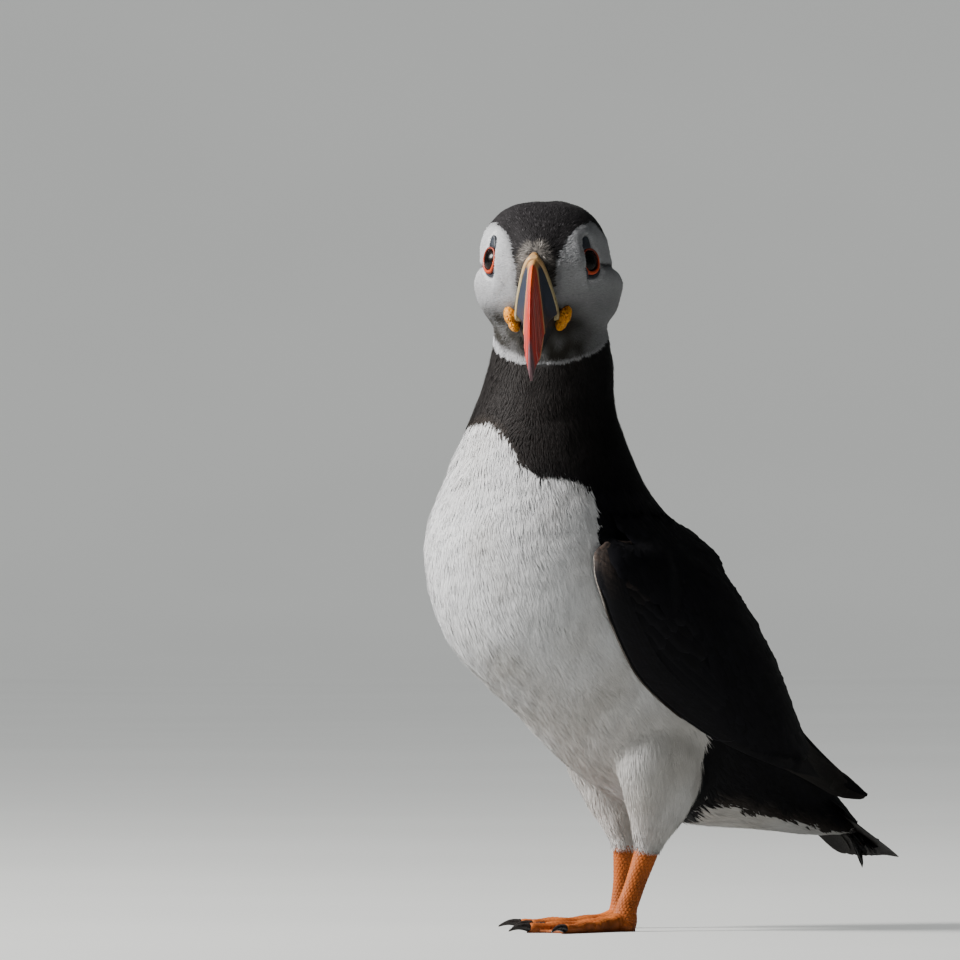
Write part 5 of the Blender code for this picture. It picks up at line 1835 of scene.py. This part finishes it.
@dataclass
class Quills:
    """Long feathers laid along a curved sheet. Each runs from start to end along the sheet, is an oval strip
    with a rounded tip, is cambered across, and rises from its root to its tip."""

    rows: tuple = (0.0, 0.12, 0.28, 0.46, 0.62, 0.76, 0.87, 0.94, 0.985, 1.0)
    across: tuple = (-1.0, -0.72, -0.36, 0.0, 0.36, 0.72, 1.0)
    blunt: float = 0.68  # where along the feather its tip begins to round

    def outline(self, t: Array, taper: float) -> Array:
        """The half width's share along the feather: narrow at the root, full by the middle, round at the
        tip."""
        root = 0.45 + 0.55 * ease(t, 0.0, 0.3)
        end = np.sqrt(np.clip(1 - (np.clip(t - self.blunt, 0, None) / (1.005 - self.blunt)) ** 2, 0.004, 1))
        return root * end * (1 - taper * t)

    def lay(self, sheet: Callable[..., Array], start: Array, end: Array, width: Array, base: Array,
            rise: float, tone: Array, seed: int, taper: float = 0.1, roof: float = 0.5, camber: float = 0.45,
            edge: float = 0.5) -> Shape:
        """Lays the feathers.

        Args:
            sheet: A function of along, across and height that gives places on the sheet and the way across
                it.
            start: Each feather's root as along and across on the sheet.
            end: Each feather's tip likewise.
            width: One width in millimetres, or one for each feather.
            base: One height of the roots over the sheet, or one for each feather.
            rise: How far each tip stands over the height of its root.
            tone: One colour, or one for each feather.
            seed: The seed for small differences.
            taper: How much narrower the tip is than the root.
            roof: How much higher one side lies than the other.
            camber: How far the middle stands over the edges.
            edge: How much paler the edges are.

        Returns:
            The feathers as one shape with a map for barbs, and each one's root and own patch for baking.
        """
        rng = np.random.default_rng(seed)
        count = len(start)
        width, base = (np.broadcast_to(part, count)[:, None] for part in (width, base))
        t, s = np.array(self.rows), np.array(self.across)
        along = start[:, None, :] + (end - start)[:, None, :] * t[:, None]
        half = width * 0.5 * self.outline(t, taper) * rng.uniform(0.93, 1.07, (count, 1))
        sway = rng.normal(0, 0.02, (count, 1)) * width * np.sin(np.pi * t)
        aside = half[..., None] * s + sway[..., None]
        height = (base + rise * t)[..., None] + roof * s * 0.5 * (0.4 + 0.6 * t[:, None])
        height = height + camber * (0.5 - s**2) * half[..., None] / (width[..., None] * 0.5)
        shaft = 0.12 * (np.abs(s) < 0.1) * (1 - t[:, None])
        curl = -0.25 * ease(t, 0.8, 1.0)[:, None]
        places = sheet(along[..., 0], along[..., 1], aside, height + shaft + curl)
        gain = 1 + edge * ease(np.abs(s), 0.66, 1.0) + edge * ease(t, 0.9, 1.0)[:,
            None] - 0.3 * (np.abs(s) < 0.1)
        tone = np.broadcast_to(np.asarray(tone, float), (count, 3)) * rng.uniform(0.8, 1.25, (count, 1))
        colours = (tone[:, None, None] * gain[..., None]).reshape(-1, 3)
        index = np.arange(count * len(t) * len(s)).reshape(places.shape[:3])
        middle = places[:, :, len(s) // 2]
        length = np.linalg.norm(middle[:, -1] - middle[:, 0], axis=-1)[:, None, None]
        maps = {"spot": start[:, None, None], "patch": 0.003 * stack(0.5 * s, t[:, None] - 0.5),
            "barb": stack(0.5 * s * width[..., None], t[:, None] * length)}
        shape = places.shape[:3] + (2,)
        maps = {key: np.broadcast_to(part, shape).reshape(-1, 2) for key, part in maps.items()}
        return Shape(places.reshape(-1, 3), quads(index), colours, None, maps)

    @staticmethod
    def gather(parts: list[Shape]) -> Shape:
        """Joins rows of feathers. Their roots' places on the sheet are spread over one map for baking."""
        made = Shape.join(parts)
        spot, patch = made.uvs.pop("spot"), made.uvs.pop("patch")
        low, high = spot.min(0), spot.max(0)
        made.uvs["OFBake"] = 0.02 + 0.96 * (spot - low) / (high - low) + patch
        return made


TINY = Quills(rows=(0.0, 0.3, 0.6, 0.85, 1.0), across=(-1.0, 0.0, 1.0))


@dataclass
class Wing:
    """One folded wing, seen from the side as a blade between its leading and its upper edge. Places on it are
    given as along, counted in stations from the wrist to the tip, and across, from 0 at the leading edge to 1
    at the upper edge."""

    side: int
    word: str
    # (y, z) of the leading edge and of the upper edge, wrist to tip
    leading: tuple = ((-20.5, 128.3), (-25.8, 120), (-22, 107), (-15.2, 94.5), (-6.5, 83), (5, 73.5),
        (17.5, 66), (32, 59), (49, 53.5), (66, 49.5), (82, 46), (97, 42))
    upper: tuple = ((-19.9, 127.8), (-10.3, 127.7), (1, 128.6), (12, 127.3), (22.5, 120.5), (34.5, 110.3),
        (45, 99.5), (55, 88), (63, 77), (72, 66.5), (84, 56), (98, 45.5))
    wrist: tuple = (-1.3, 0.5)  # how far the leading edge bulges between the first two stations
    thickness: float = 5.0
    tip_thickness: float = 2.4
    tip_x: float = 8.0  # how far out the free part's base lies at the tip, and how much further at the wrist
    wrist_x: float = 14.0
    fall: float = 0.35  # how much more the surface falls with each cell past the outline
    sink: float = 9.0
    cell: float = 1.5
    inset: float = 1.2  # how far the core lies under the feathers' surface
    low: tuple = (-48.0, 30.0)  # the map's first y and z, and how many cells it has along each
    size: tuple = (120, 90)

    def edges(self, along: Array) -> tuple[Array, Array]:
        """The leading and the upper edge at each station. The leading one is rounded at the wrist by a low
        swell between the first two stations."""
        lower, upper = smooth_through(self.leading, along), smooth_through(self.upper, along)
        share = np.clip(along, 0, 1)[..., None]
        return lower + np.sin(np.pi * share) ** 2 * np.array(self.wrist), upper

    def core_grids(self, rows: int, cols: int, inset: float) -> tuple[Array, Array]:
        """The outer and the inner side of the wing. The outer side stands over the flank by the wing's
        thickness, which fades towards both edges and the tip.

        Args:
            rows: How many places along.
            cols: How many places across.
            inset: Millimetres by which the outer side is lowered and the edges drawn in.

        Returns:
            Two grids of places for a left wing.
        """
        along = np.linspace(0, len(self.leading) - 1, rows)
        lower, upper = self.edges(along)
        way = unit(upper - lower)
        narrow = np.minimum(inset, 0.3 * np.linalg.norm(upper - lower, axis=1))[:, None]
        lower, upper = lower + narrow * way, upper - narrow * way
        across = np.linspace(0, 1, cols)
        edge = lower[:, None] + (upper - lower)[:, None] * across[None, :, None]
        y, z = edge[..., 0], edge[..., 1]
        share = (along / along[-1])[:, None]
        bulge = np.sqrt(np.clip(1 - (2 * across - 1) ** 4, 0.06, 1))
        bulge = bulge * np.sqrt(np.clip(np.sin(np.pi * np.clip(share * 3, 0, 0.5)), 0.25, 1))
        thick = (self.thickness + (self.tip_thickness - self.thickness) * share) * bulge
        free = self.tip_x + self.wrist_x * (1 - share)
        bare = FORM.flank_x(y, z)
        base = (bare**6 + free**6) ** (1 / 6) - shoulder_dip(z) * ease(across, 0.55, 1.0)
        outer = stack(base + thick - inset * (1 - 0.5 * share), y, z)
        sunk = np.where(bare > free * 0.8, self.sink, self.tip_thickness * 0.6)
        inner = stack(base - sunk * np.clip(bare / free, 0.8, 1.4), y, z)
        return outer, inner

    def __post_init__(self) -> None:
        """Maps how far out the feathers' surface lies over each y and z. Round the wing it falls to the
        flank."""
        outer, _ = self.core_grids(220, 90, 0.0)
        cells = self.cell_of(outer[..., 1], outer[..., 2])
        count, reach = np.zeros((2, *self.size))
        np.add.at(count, cells, 1)
        np.add.at(reach, cells, outer[..., 0])
        y, z = (low + (np.arange(size) + 0.5) * self.cell for low, size in zip(self.low, self.size))
        body = FORM.flank_x(*np.meshgrid(y, z, indexing="ij")) + 1.2
        near, self.steps_off = reach / np.maximum(count, 1), np.where(count > 0, 0, 1)
        for step in range(10):
            held = (self.steps_off <= step).astype(float)
            shares = around(held, 2)
            fresh = (held == 0) & (shares > 0)
            mean = around(near * held, 2) / np.maximum(shares, 1e-9)
            near = np.where(fresh, mean - self.fall * (1 + step), near)
            self.steps_off = self.steps_off + ((held == 0) & ~fresh)
        near = np.where(self.steps_off > 10, body, near)
        self.map = np.where(self.steps_off > 0, np.maximum(near, body), near)
        for _ in range(2):
            self.map = (self.map * 2 + around(self.map, 2)) / 6

    def cell_of(self, y: Array, z: Array) -> tuple[Array, Array]:
        """The map's cell in which each place seen from the side falls, or the nearest."""
        index = ((stack(y, z) - self.low) / self.cell).astype(int)
        return tuple(np.moveaxis(np.clip(index, 0, np.array(self.size) - 1), -1, 0))

    def off(self, y: Array, z: Array) -> Array:
        """How many cells past the wing's outline places seen from the side lie, or 0 on the wing."""
        return self.steps_off[self.cell_of(y, z)]

    def out(self, y: Array, z: Array) -> Array:
        """How far out the feathers' surface lies, read between the map's four nearest cells."""
        at = np.clip((stack(y, z) - self.low) / self.cell - 0.5, 0, np.array(self.size) - 2.001)
        base = at.astype(int)
        p, q = (at - base)[..., 0], (at - base)[..., 1]
        i, j = base[..., 0], base[..., 1]
        m = self.map
        low = m[i, j] * (1 - p) + m[i + 1, j] * p
        high = m[i, j + 1] * (1 - p) + m[i + 1, j + 1] * p
        return low * (1 - q) + high * q

    def middle(self, along: Array, across: Array) -> Array:
        """The y and z of places on the wing; across may run past 0 and 1."""
        lower, upper = self.edges(along)
        return lower + (upper - lower) * across[..., None]

    def sheet(self, along: Array, across: Array, aside: Array, height: Array) -> Array:
        """Places on and over the wing, for feathers whose midlines run along it and whose width goes
        aside."""
        centre = self.middle(along, across)
        way = unit(np.gradient(centre, axis=-2))
        beside = stack(-way[..., 1], way[..., 0])
        flat = centre[..., None, :] + beside[..., None, :] * aside[..., None]
        y, z = flat[..., 0], flat[..., 1]
        slope_y = (self.out(y + 1, z) - self.out(y - 1, z)) / 2
        slope_z = (self.out(y, z + 1) - self.out(y, z - 1)) / 2
        normal = unit(stack(1.0, -slope_y.clip(-1.2, 1.2), -slope_z.clip(-1.2, 1.2)))
        places = stack(self.out(y, z), y, z) + normal * height[..., None]
        return places * (self.side, 1, 1)

    def core(self) -> Shape:
        """The wing's body under its feathers."""
        outer, inner = self.core_grids(110, 44, self.inset)
        made = sheet_between(outer * (self.side, 1, 1), inner * (self.side, 1, 1))
        made.colours = np.broadcast_to(Tone.BLACK, made.points.shape)
        return made

    def row(self, at: float, end: float, low: float, high: float, count: int, width: float, base: float,
            rise: float, tone: Array, seed: int, slant: float = 0.0, edge: float = 0.5) -> Shape:
        """One row of feathers across the wing. The low end's feathers lie deeper, so that no side stands up.

        Args:
            at: The roots' station.
            end: The tips' station.
            low: Where across the row starts.
            high: Where it ends.
            count: How many feathers it has.
            width: Their width.
            base: Their roots' height.
            rise: Their tips' height over the roots.
            tone: Their colour.
            seed: The seed for small differences.
            slant: How many stations further on the row's high end lies.
            edge: How much paler the edges are.

        Returns:
            The row.
        """
        rng = np.random.default_rng(seed)
        across = np.linspace(low, high, count) + rng.normal(0, 0.008, count)
        start = stack(at + slant * np.linspace(0, 1, count) + rng.normal(0, 0.04, count), across)
        span = (end - at) * rng.uniform(0.94, 1.05, count)
        stop = stack(start[:, 0] + span, across + rng.normal(0, 0.008, count))
        size = width * rng.uniform(0.95, 1.05, count)
        bases = base + rng.normal(0, 0.05, count) - 0.5 * ease(np.linspace(0, 1, count), 0.35, 0.0)
        return Quills().lay(self.sheet, start, stop, size, bases, rise, tone, seed, edge=edge)

    def coverts(self) -> Shape:
        """Lesser, median and greater coverts, tiny on the wrist and longer towards the quills."""
        parts = []
        for i, at in enumerate(np.arange(0.0, 1.5, 0.115)):
            start = stack(at, np.linspace(0.04, 0.97, 30))
            start = start + np.random.default_rng(260 + i).normal(0, (0.02, 0.008), start.shape)
            # painted sheen: the small coverts over the wrist take the wrist's brownish sheen
            brown = ease(at - 0.5 * start[:, 1], 1.1, 0.3) * np.random.default_rng(i).uniform(0.2, 0.9, 30)
            tone = mix(Tone.WING, Tone.WRIST_SHEEN, brown)
            parts.append(TINY.lay(self.sheet, start, start + (0.36, 0.0), 2.3, -0.45, 0.5, tone, 260 + i,
                edge=0.8))
        for i, at in enumerate(np.arange(0.65, 3.0, 0.27)):
            start, width = self.edges(at), min(2.4 + 1.5 * at, 5.8)
            count = int(np.linalg.norm(start[0] - start[1]) / (0.67 * width)) + 3
            shift = 0.5 / count * (i % 2)
            # painted sheen: the rows near the wrist take the wrist's brownish sheen, except near the leading edge
            brown = 0.75 * ease(at, 2.1, 0.9) * ease(np.linspace(0, 1, count), 0.0, 0.4)
            brown = brown * np.random.default_rng(290 + i).uniform(0.4, 1, count)
            parts.append(self.row(at, at + 0.35 + 0.1 * width, 0.11 + shift, 0.93 + shift, count, width,
                -0.65, 0.9, mix(Tone.WING, Tone.WRIST_SHEEN, brown), 200 + i, slant=0.25))
        for i, (at, long, width, count) in enumerate(((3.05, 1.25, 7.4, 11), (3.5, 1.4, 7.8, 10))):
            parts.append(self.row(at, at + long, 0.08 + 0.03 * i, 0.93, count, width, -0.8, 0.95, Tone.WING,
                230 + i, slant=0.3))
        parts.append(self.row(4.0, 5.9, 0.30, 0.93, 8, 9.0, -0.9, 1.0, Tone.WING, 240, slant=0.4))
        parts.append(self.row(3.8, 6.3, 0.08, 0.28, 5, 6.0, -0.9, 1.3, Tone.WING, 241, slant=-0.2))
        return Quills.gather(parts)

    def flight_feathers(self) -> Shape:
        """Primaries, staggered towards the tip, secondaries, and tertials along the upper edge."""
        parts = []
        quills = Quills(rows=(0.0, 0.12, 0.3, 0.5, 0.7, 0.85, 0.92, 0.96, 0.985, 1.0), blunt=0.84)
        for i, tip in enumerate((11.0, 10.95, 10.8, 10.55, 10.2, 9.8, 9.4, 9.0, 8.6)):
            start, stop = np.array([[5.0 + 0.12 * i, 0.10 + 0.056 * i]]), np.array([[tip, 0.30 + 0.055 * i]])
            parts.append(quills.lay(self.sheet, start, stop, 8.2 - 0.1 * i, -1.5 + 0.10 * i, 0.85,
                Tone.PRIMARY, 300 + i, taper=0.06, roof=0.35, camber=0.3, edge=0.75))
        parts.append(self.row(4.6, 7.55, 0.34, 0.92, 9, 9.5, -0.8, 0.85, Tone.WING, 320, slant=0.75,
            edge=0.6))
        parts.append(self.row(4.3, 8.35, 0.72, 0.88, 3, 11.0, -0.6, 0.9, Tone.WING, 321, slant=0.15,
            edge=0.6))
        return Quills.gather(parts)

    def rim(self, along: Array, deep: float, upper: bool = False) -> Array:
        """Places at each station that lie some millimetres inside the leading or the upper edge."""
        share = np.minimum(deep / np.linalg.norm(np.subtract(*self.edges(along)), axis=-1), 0.5)
        return stack(along, 1 - share if upper else share)

    def margin(self) -> Shape:
        """Rows of tiny black feathers that start on the outline and lie inwards: they round off the leading
        edge from the quills up to the wrist, and the first part of the upper edge. They are browner at the
        wrist, a painted brownish sheen."""
        parts = []
        for i, deep in enumerate((0.0, 0.9, 1.9, 3.0, 4.2, 5.6)):
            for upper, end, count in ((False, 6.4, 96), (True, 1.9, 30)):
                along = np.linspace(0.02, end, count) + 0.035 * (i % 2)
                start, stop = self.rim(along, deep, upper), self.rim(along + 0.33, deep + 1.9, upper)
                # painted sheen: browner near the wrist and the outline, the wrist's brownish sheen
                brown = ease(along, 1.9, 0.4) * ease(deep, 7.0, 1.0)
                brown = brown * np.random.default_rng(i).uniform(0.3, 0.9, count)
                tone, base = mix(Tone.WING, Tone.WRIST_SHEEN, brown), -0.35 if i else -1.3
                parts.append(TINY.lay(self.sheet, start, stop, 1.9, base, 0.5, tone, 380 + i, edge=0.3))
        return Quills.gather(parts)

    def edge_line(self) -> Shape:
        """The thin pale line of tiny feathers just outside the leading edge and the wrist, broken in
        places."""
        parts = []
        quills = Quills(rows=(0.0, 0.3, 0.6, 0.9, 1.0), across=(-1.0, 0.0, 1.0))
        for upper, end, count, pale in ((False, 5.3, 150, 0.8), (True, 0.6, 16, 0.2)):
            along = np.linspace(0.05, end, count)
            start = self.rim(along, 0.1 if upper else -0.42, upper)
            place = ripple(stack(along * 9, along, along), 9.0, 12)
            fade = pale * (1 - 0.75 * ease(along, 1.5, 4.8)) * ease(place, -0.9, 0.2)
            tone = mix(Tone.BROWN, Tone.EDGE, fade)
            parts.append(quills.lay(self.sheet, start, start + (0.16, 0.0), 0.46, -1.1, 0.3, tone, 360,
                edge=0.0))
        return Quills.gather(parts)


@dataclass
class Tail:
    """The fan of tail feathers, and the coverts over and under its root."""

    root: tuple = (72.0, 50.0)
    tip: tuple = (111.0, 22.5)
    half_widths: tuple = (11.0, 18.5)
    arch: float = 2.4
    rounding: float = 0.16
    count: int = 14

    def fan(self, reach: Array, turn: Array) -> Array:
        """The fan's middle surface, by the share from root to tip and from the right edge, -1, to the left,
        1."""
        start, end = np.array([(self.half_widths[0], *self.root), (self.half_widths[1], *self.tip)])
        half, y, z = (low + (high - low) * reach for low, high in zip(start, end))
        return stack(turn * half, y, z - self.arch * turn**2)

    def sheet(self, along: Array, across: Array, aside: Array, height: Array) -> Array:
        """Places on the arched fan. along runs from root to tip, across from -1 to 1, and the outer feathers
        end short of the middle ones."""
        reach = along * (1 - self.rounding * np.abs(across) ** 2.4)
        centre = self.fan(reach, across)
        beside = unit(self.fan(reach, across + 0.01) - self.fan(reach, across - 0.01))
        normal = np.cross(beside, unit(np.gradient(centre, axis=-2)))
        normal = normal * np.sign(normal[..., 2:])
        return (centre[..., None, :] + beside[..., None, :] * aside[..., None]
            + normal[..., None, :] * height[..., None])

    def quills(self) -> Shape:
        """The tail feathers, the middle ones on top."""
        across = np.linspace(-0.9, 0.9, self.count)
        start, stop = stack(-0.25 - 0.1 * np.abs(across), across * 0.8), stack(0.98, across)
        quills = Quills(rows=(0.0, 0.12, 0.3, 0.5, 0.7, 0.86, 0.92, 0.96, 0.985, 1.0), blunt=0.86)
        return Quills.gather([quills.lay(self.sheet, start, stop, 10.5, 0.6 - 1.4 * np.abs(across), 0.1,
            Tone.TAIL, 400, taper=0.0, roof=0.0, camber=0.3, edge=0.7)])

    def coverts(self) -> Shape:
        """Rows of black feathers over the tail's root."""
        parts = []
        for i, (at, end, count) in enumerate(((-0.45, 0.12, 9), (-0.28, 0.30, 9), (-0.1, 0.46, 8))):
            across = np.linspace(-0.85, 0.85, count)
            parts.append(Quills().lay(self.sheet, stack(at, across), stack(end, across), 6.0, 1.6 - 0.35 * i,
                0.2, Tone.BLACK, 410 + i, roof=0.0, camber=0.6, edge=0.4))
        return Quills.gather(parts)


# The studio


@dataclass
class Studio:
    """A pale sweep, soft lights and the camera."""

    azimuth: float = 60.0
    distance: float = 5.0
    view_height: float = 148.5
    view_aside: float = -39.6
    view_width: float = 316.8
    sensor: float = 36.0
    floor_tone: tuple = (0.44, 0.45, 0.44)
    floor_radius: float = 6.5
    bend_radius: float = 1.5
    wall_height: float = 5.0
    sky: tuple = ((0.86, 0.92, 1.0, 1.0), 0.07)  # colour and strength
    # each light's way, as shares towards the camera, to its right and up, then distance, size, watts and tint
    lamps: tuple = (("key", (0.22, -0.88, 0.60), 2.4, 0.7, 150.0, (1.0, 0.972, 0.94)),
        ("fill", (0.8, 0.35, 0.35), 3.0, 2.2, 1.0, (0.88, 0.93, 1.0)))

    def directions(self) -> tuple[Array, Array]:
        """The level directions from the bird to the camera, and to the camera's right."""
        turn = np.radians(self.azimuth)
        return np.array([np.sin(turn), -np.cos(turn), 0.0]), np.array([np.cos(turn), np.sin(turn), 0.0])

    def camera(self) -> None:
        """Places the camera and makes it the scene's."""
        towards, right = self.directions()
        target = (right * self.view_aside + (0, 0, self.view_height) + SHIFT) * MM
        data = bpy.data.cameras.new("camera")
        data.sensor_width = self.sensor
        data.lens = self.sensor * self.distance / (self.view_width * MM)
        data.clip_end = 60.0
        made = bpy.data.objects.new("camera", data)
        made.location = target + towards * self.distance
        made.rotation_euler = Vector(-towards).to_track_quat("-Z", "Y").to_euler()
        bpy.context.scene.collection.objects.link(made)
        bpy.context.scene.camera = made

    def lights(self) -> None:
        """The key from the upper left of the view and a weak fill, both square and soft, and a dim sky."""
        target = Vector((0.0, 0.0, 0.12))
        for name, way, distance, size, watts, tint in self.lamps:
            data = bpy.data.lights.new(name, "AREA")
            data.shape, data.size, data.energy, data.color = "SQUARE", size, watts, tint
            made = bpy.data.objects.new(name, data)
            made.location = target + Vector(unit(way @ np.array([*self.directions(), (0, 0, 1)]))) * distance
            made.rotation_euler = (made.location - target).to_track_quat("Z", "Y").to_euler()
            bpy.context.scene.collection.objects.link(made)
        world = bpy.data.worlds.new("studio")
        world.use_nodes = True
        Nodes(world.node_tree).wire(world.node_tree.nodes["Background"], dict(enumerate(self.sky)))
        bpy.context.scene.world = world

    def sweep(self) -> bpy.types.Object:
        """A round floor that curves up into a wall: the profile is flat, then a quarter circle, then upright,
        turned about the middle."""
        flat = stack(np.linspace(0.05, self.floor_radius, 14), 0.0)
        bend = np.linspace(0, np.pi / 2, 12)[1:]
        curve = (self.floor_radius, self.bend_radius) + self.bend_radius * stack(np.sin(bend), -np.cos(bend))
        wall = stack(self.floor_radius + self.bend_radius, np.linspace(2.2, self.wall_height, 4))
        profile = np.concatenate([flat, curve, wall]) / MM
        turn = circle(96)
        rings = stack(profile[:, :1] * np.cos(turn), profile[:, :1] * np.sin(turn), profile[:, 1:] + 0 * turn)
        body, here = Shape.grid(rings, wrap_cols=True), np.arange(len(turn))
        fan = stack(len(body.points), np.roll(here, -1), here, -1)
        shape = Shape(np.concatenate([body.points, [[0, 0, 0]]]), np.concatenate([body.faces, fan]))
        made = shape.object("sweep")
        material, n = plain_material("pale sweep")
        place = n.add("TexCoord").outputs["Object"]
        tone = n.scaled(self.floor_tone, n.span(n.noise(place, 3.0), 0.3, 0.7, 0.97, 1.0))
        glow = n.value("MULTIPLY", n.add("LightPath").outputs["Is Camera Ray"], 0.95)
        sockets = {"Base Color": tone, "Roughness": 0.9, "Emission Color": tone, "Emission Strength": glow}
        n.wire(n.tree.nodes["Principled BSDF"], sockets)
        made.data.materials.append(material)
        return made


def dress(shape: Shape, name: str, material: bpy.types.Material, slot: str, *nodes: str,
        outward: bool = True) -> None:
    """Makes a piece, gives it its material, and says what it rides on, what slot it paints and which nodes it
    replaces.

    Args:
        shape: The piece's mesh.
        name: The piece's name.
        material: Its material.
        slot: The slot it paints.
        nodes: The nodes it replaces.
        outward: Whether to turn its faces outwards, for a closed shape.
    """
    piece = shape.object(name, outward)
    piece.data.materials.append(material)
    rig.ride(piece, "root")
    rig.slot(piece, slot)
    if nodes:
        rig.replaces(piece, *nodes)
    log.info("%s: %d faces", piece.name, len(piece.data.polygons))


def build_bill(grain: bpy.types.NodeTree) -> None:
    """Makes and dresses the bill's five pieces."""
    bill = Bill()
    horn = HornFinish("horn", 1400.0, 0.26, 0.42, 0.35, 0.06, 0.0, 0.3).material(grain)
    waxy = HornFinish("cere", 1600.0, 0.22, 0.42, 0.45, 0.0, 0.05, 0.4).material(grain)
    fleshy = HornFinish("rosette", 1500.0, 0.25, 0.42, 0.45, 0.05, 0.08, 0.4).material(grain)
    dress(bill.upper(), "upper_mandible", horn, "bill_red", "bill_upper")
    dress(bill.lower(), "lower_mandible", horn, "bill_slate", "bill_lower")
    dress(bill.cere(), "bill_cere", waxy, "cere", "cere")
    for side, word in ((1, "left"), (-1, "right")):
        dress(bill.rosette(side), f"gape_rosette_{word}", fleshy, "rosette", f"rosette_{word}")


def build_eyes(skin: SkinField, grain: bpy.types.NodeTree) -> None:
    """Makes and dresses both eyes with their rings and plates."""
    wet = HornFinish("eyeball", 1200.0, 0.08, 0.26, 0.18, 0.05, 0.0, 0.0).material(grain)
    ring = HornFinish("eye_ring", 2000.0, 0.2, 0.38, 0.5, 0.0, 0.05, 0.3).material(grain)
    plate = HornFinish("eye_plate", 1800.0, 0.25, 0.42, 0.45, 0.0, 0.0, 0.4).material(grain)
    for side, word in ((1, "left"), (-1, "right")):
        eye = EyeSet(side)
        dress(eye.ball(), f"eyeball_{word}", wet, "eye", f"eye_{word}")
        dress(eye.ring(skin), f"eye_ring_{word}", ring, "bill_red")
        dress(eye.plates(skin), f"eye_plates_{word}", plate, "bill_slate")


def build_legs(grain: bpy.types.NodeTree) -> None:
    """Makes and dresses shanks, feet and claws."""
    scaly = HornFinish("leg_skin", 1500.0, 0.38, 0.6, 0.3, 0.0, 0.06, 0.35).material(grain)
    horn = HornFinish("claw", 1300.0, 0.2, 0.3, 0.5, 0.1, 0.0, 0.3).material(grain)
    for leg in (Leg("left", 1, LEFT_SHANK), Leg("right", -1, RIGHT_SHANK)):
        dress(leg.shank(), f"scaled_shank_{leg.word}", scaly, "leg_skin", f"shank_{leg.word}")
        dress(leg.foot(), f"webbed_foot_{leg.word}", scaly, "leg_skin", f"foot_{leg.word}")
        for toe, (angle, length) in zip(leg.toe_words, leg.toes):
            name = f"claw_{leg.word}_{toe}"
            dress(leg.claw(angle, length), f"horn_{name}", horn, "claw", name)


def build_wings_and_tail(wings: tuple, barbs: bpy.types.NodeTree) -> None:
    """Makes and dresses both wings and the tail."""
    quill = QuillFinish("quills").material(barbs)
    down = FeatherFinish("wing_core").material(barbs)
    for wing in wings:
        dress(wing.core(), f"wing_core_{wing.word}", down, "plumage_black", f"wing_{wing.word}")
        for shape, part in ((wing.coverts(), "coverts"), (wing.flight_feathers(), "quills"),
                (wing.margin(), "margin"), (wing.edge_line(), "edge")):
            dress(shape, f"wing_{part}_{wing.word}", quill, "plumage_black", outward=False)
    tail = Tail()
    dress(tail.quills(), "tail_quills", quill, "plumage_black", "tail", outward=False)
    dress(tail.coverts(), "tail_coverts", quill, "plumage_black", outward=False)


def main() -> None:
    """Builds the bird and its studio."""
    logging.basicConfig(level=logging.INFO, format="%(message)s")
    studio = Studio()
    studio.camera()
    studio.lights()
    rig.stage(studio.sweep())
    barbs, grain = barbs_group(), grain_group()
    feather = FeatherFinish("feathers").material(barbs)
    skin = Skin()
    flesh = ("trunk", "neck", "head", "thigh_left", "thigh_right")
    dress(skin.build(), "skin", feather, "plumage_white", *flesh, outward=False)
    wings = (Wing(1, "left"), Wing(-1, "right"))
    for cover, shape in Coat(skin, wings=wings).build():
        dress(shape, cover.name, feather, cover.slot, outward=False)
    build_bill(grain)
    build_eyes(skin.field, grain)
    build_legs(grain)
    build_wings_and_tail(wings, barbs)
    visual_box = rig.bounds()
    sizes = {"cad": [list(v) for v in frame_box], "visual": [list(v) for v in visual_box]}
    with open("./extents.json", "w", encoding="utf-8") as file:
        json.dump(sizes, file)


if __name__ == "__main__":
    main()
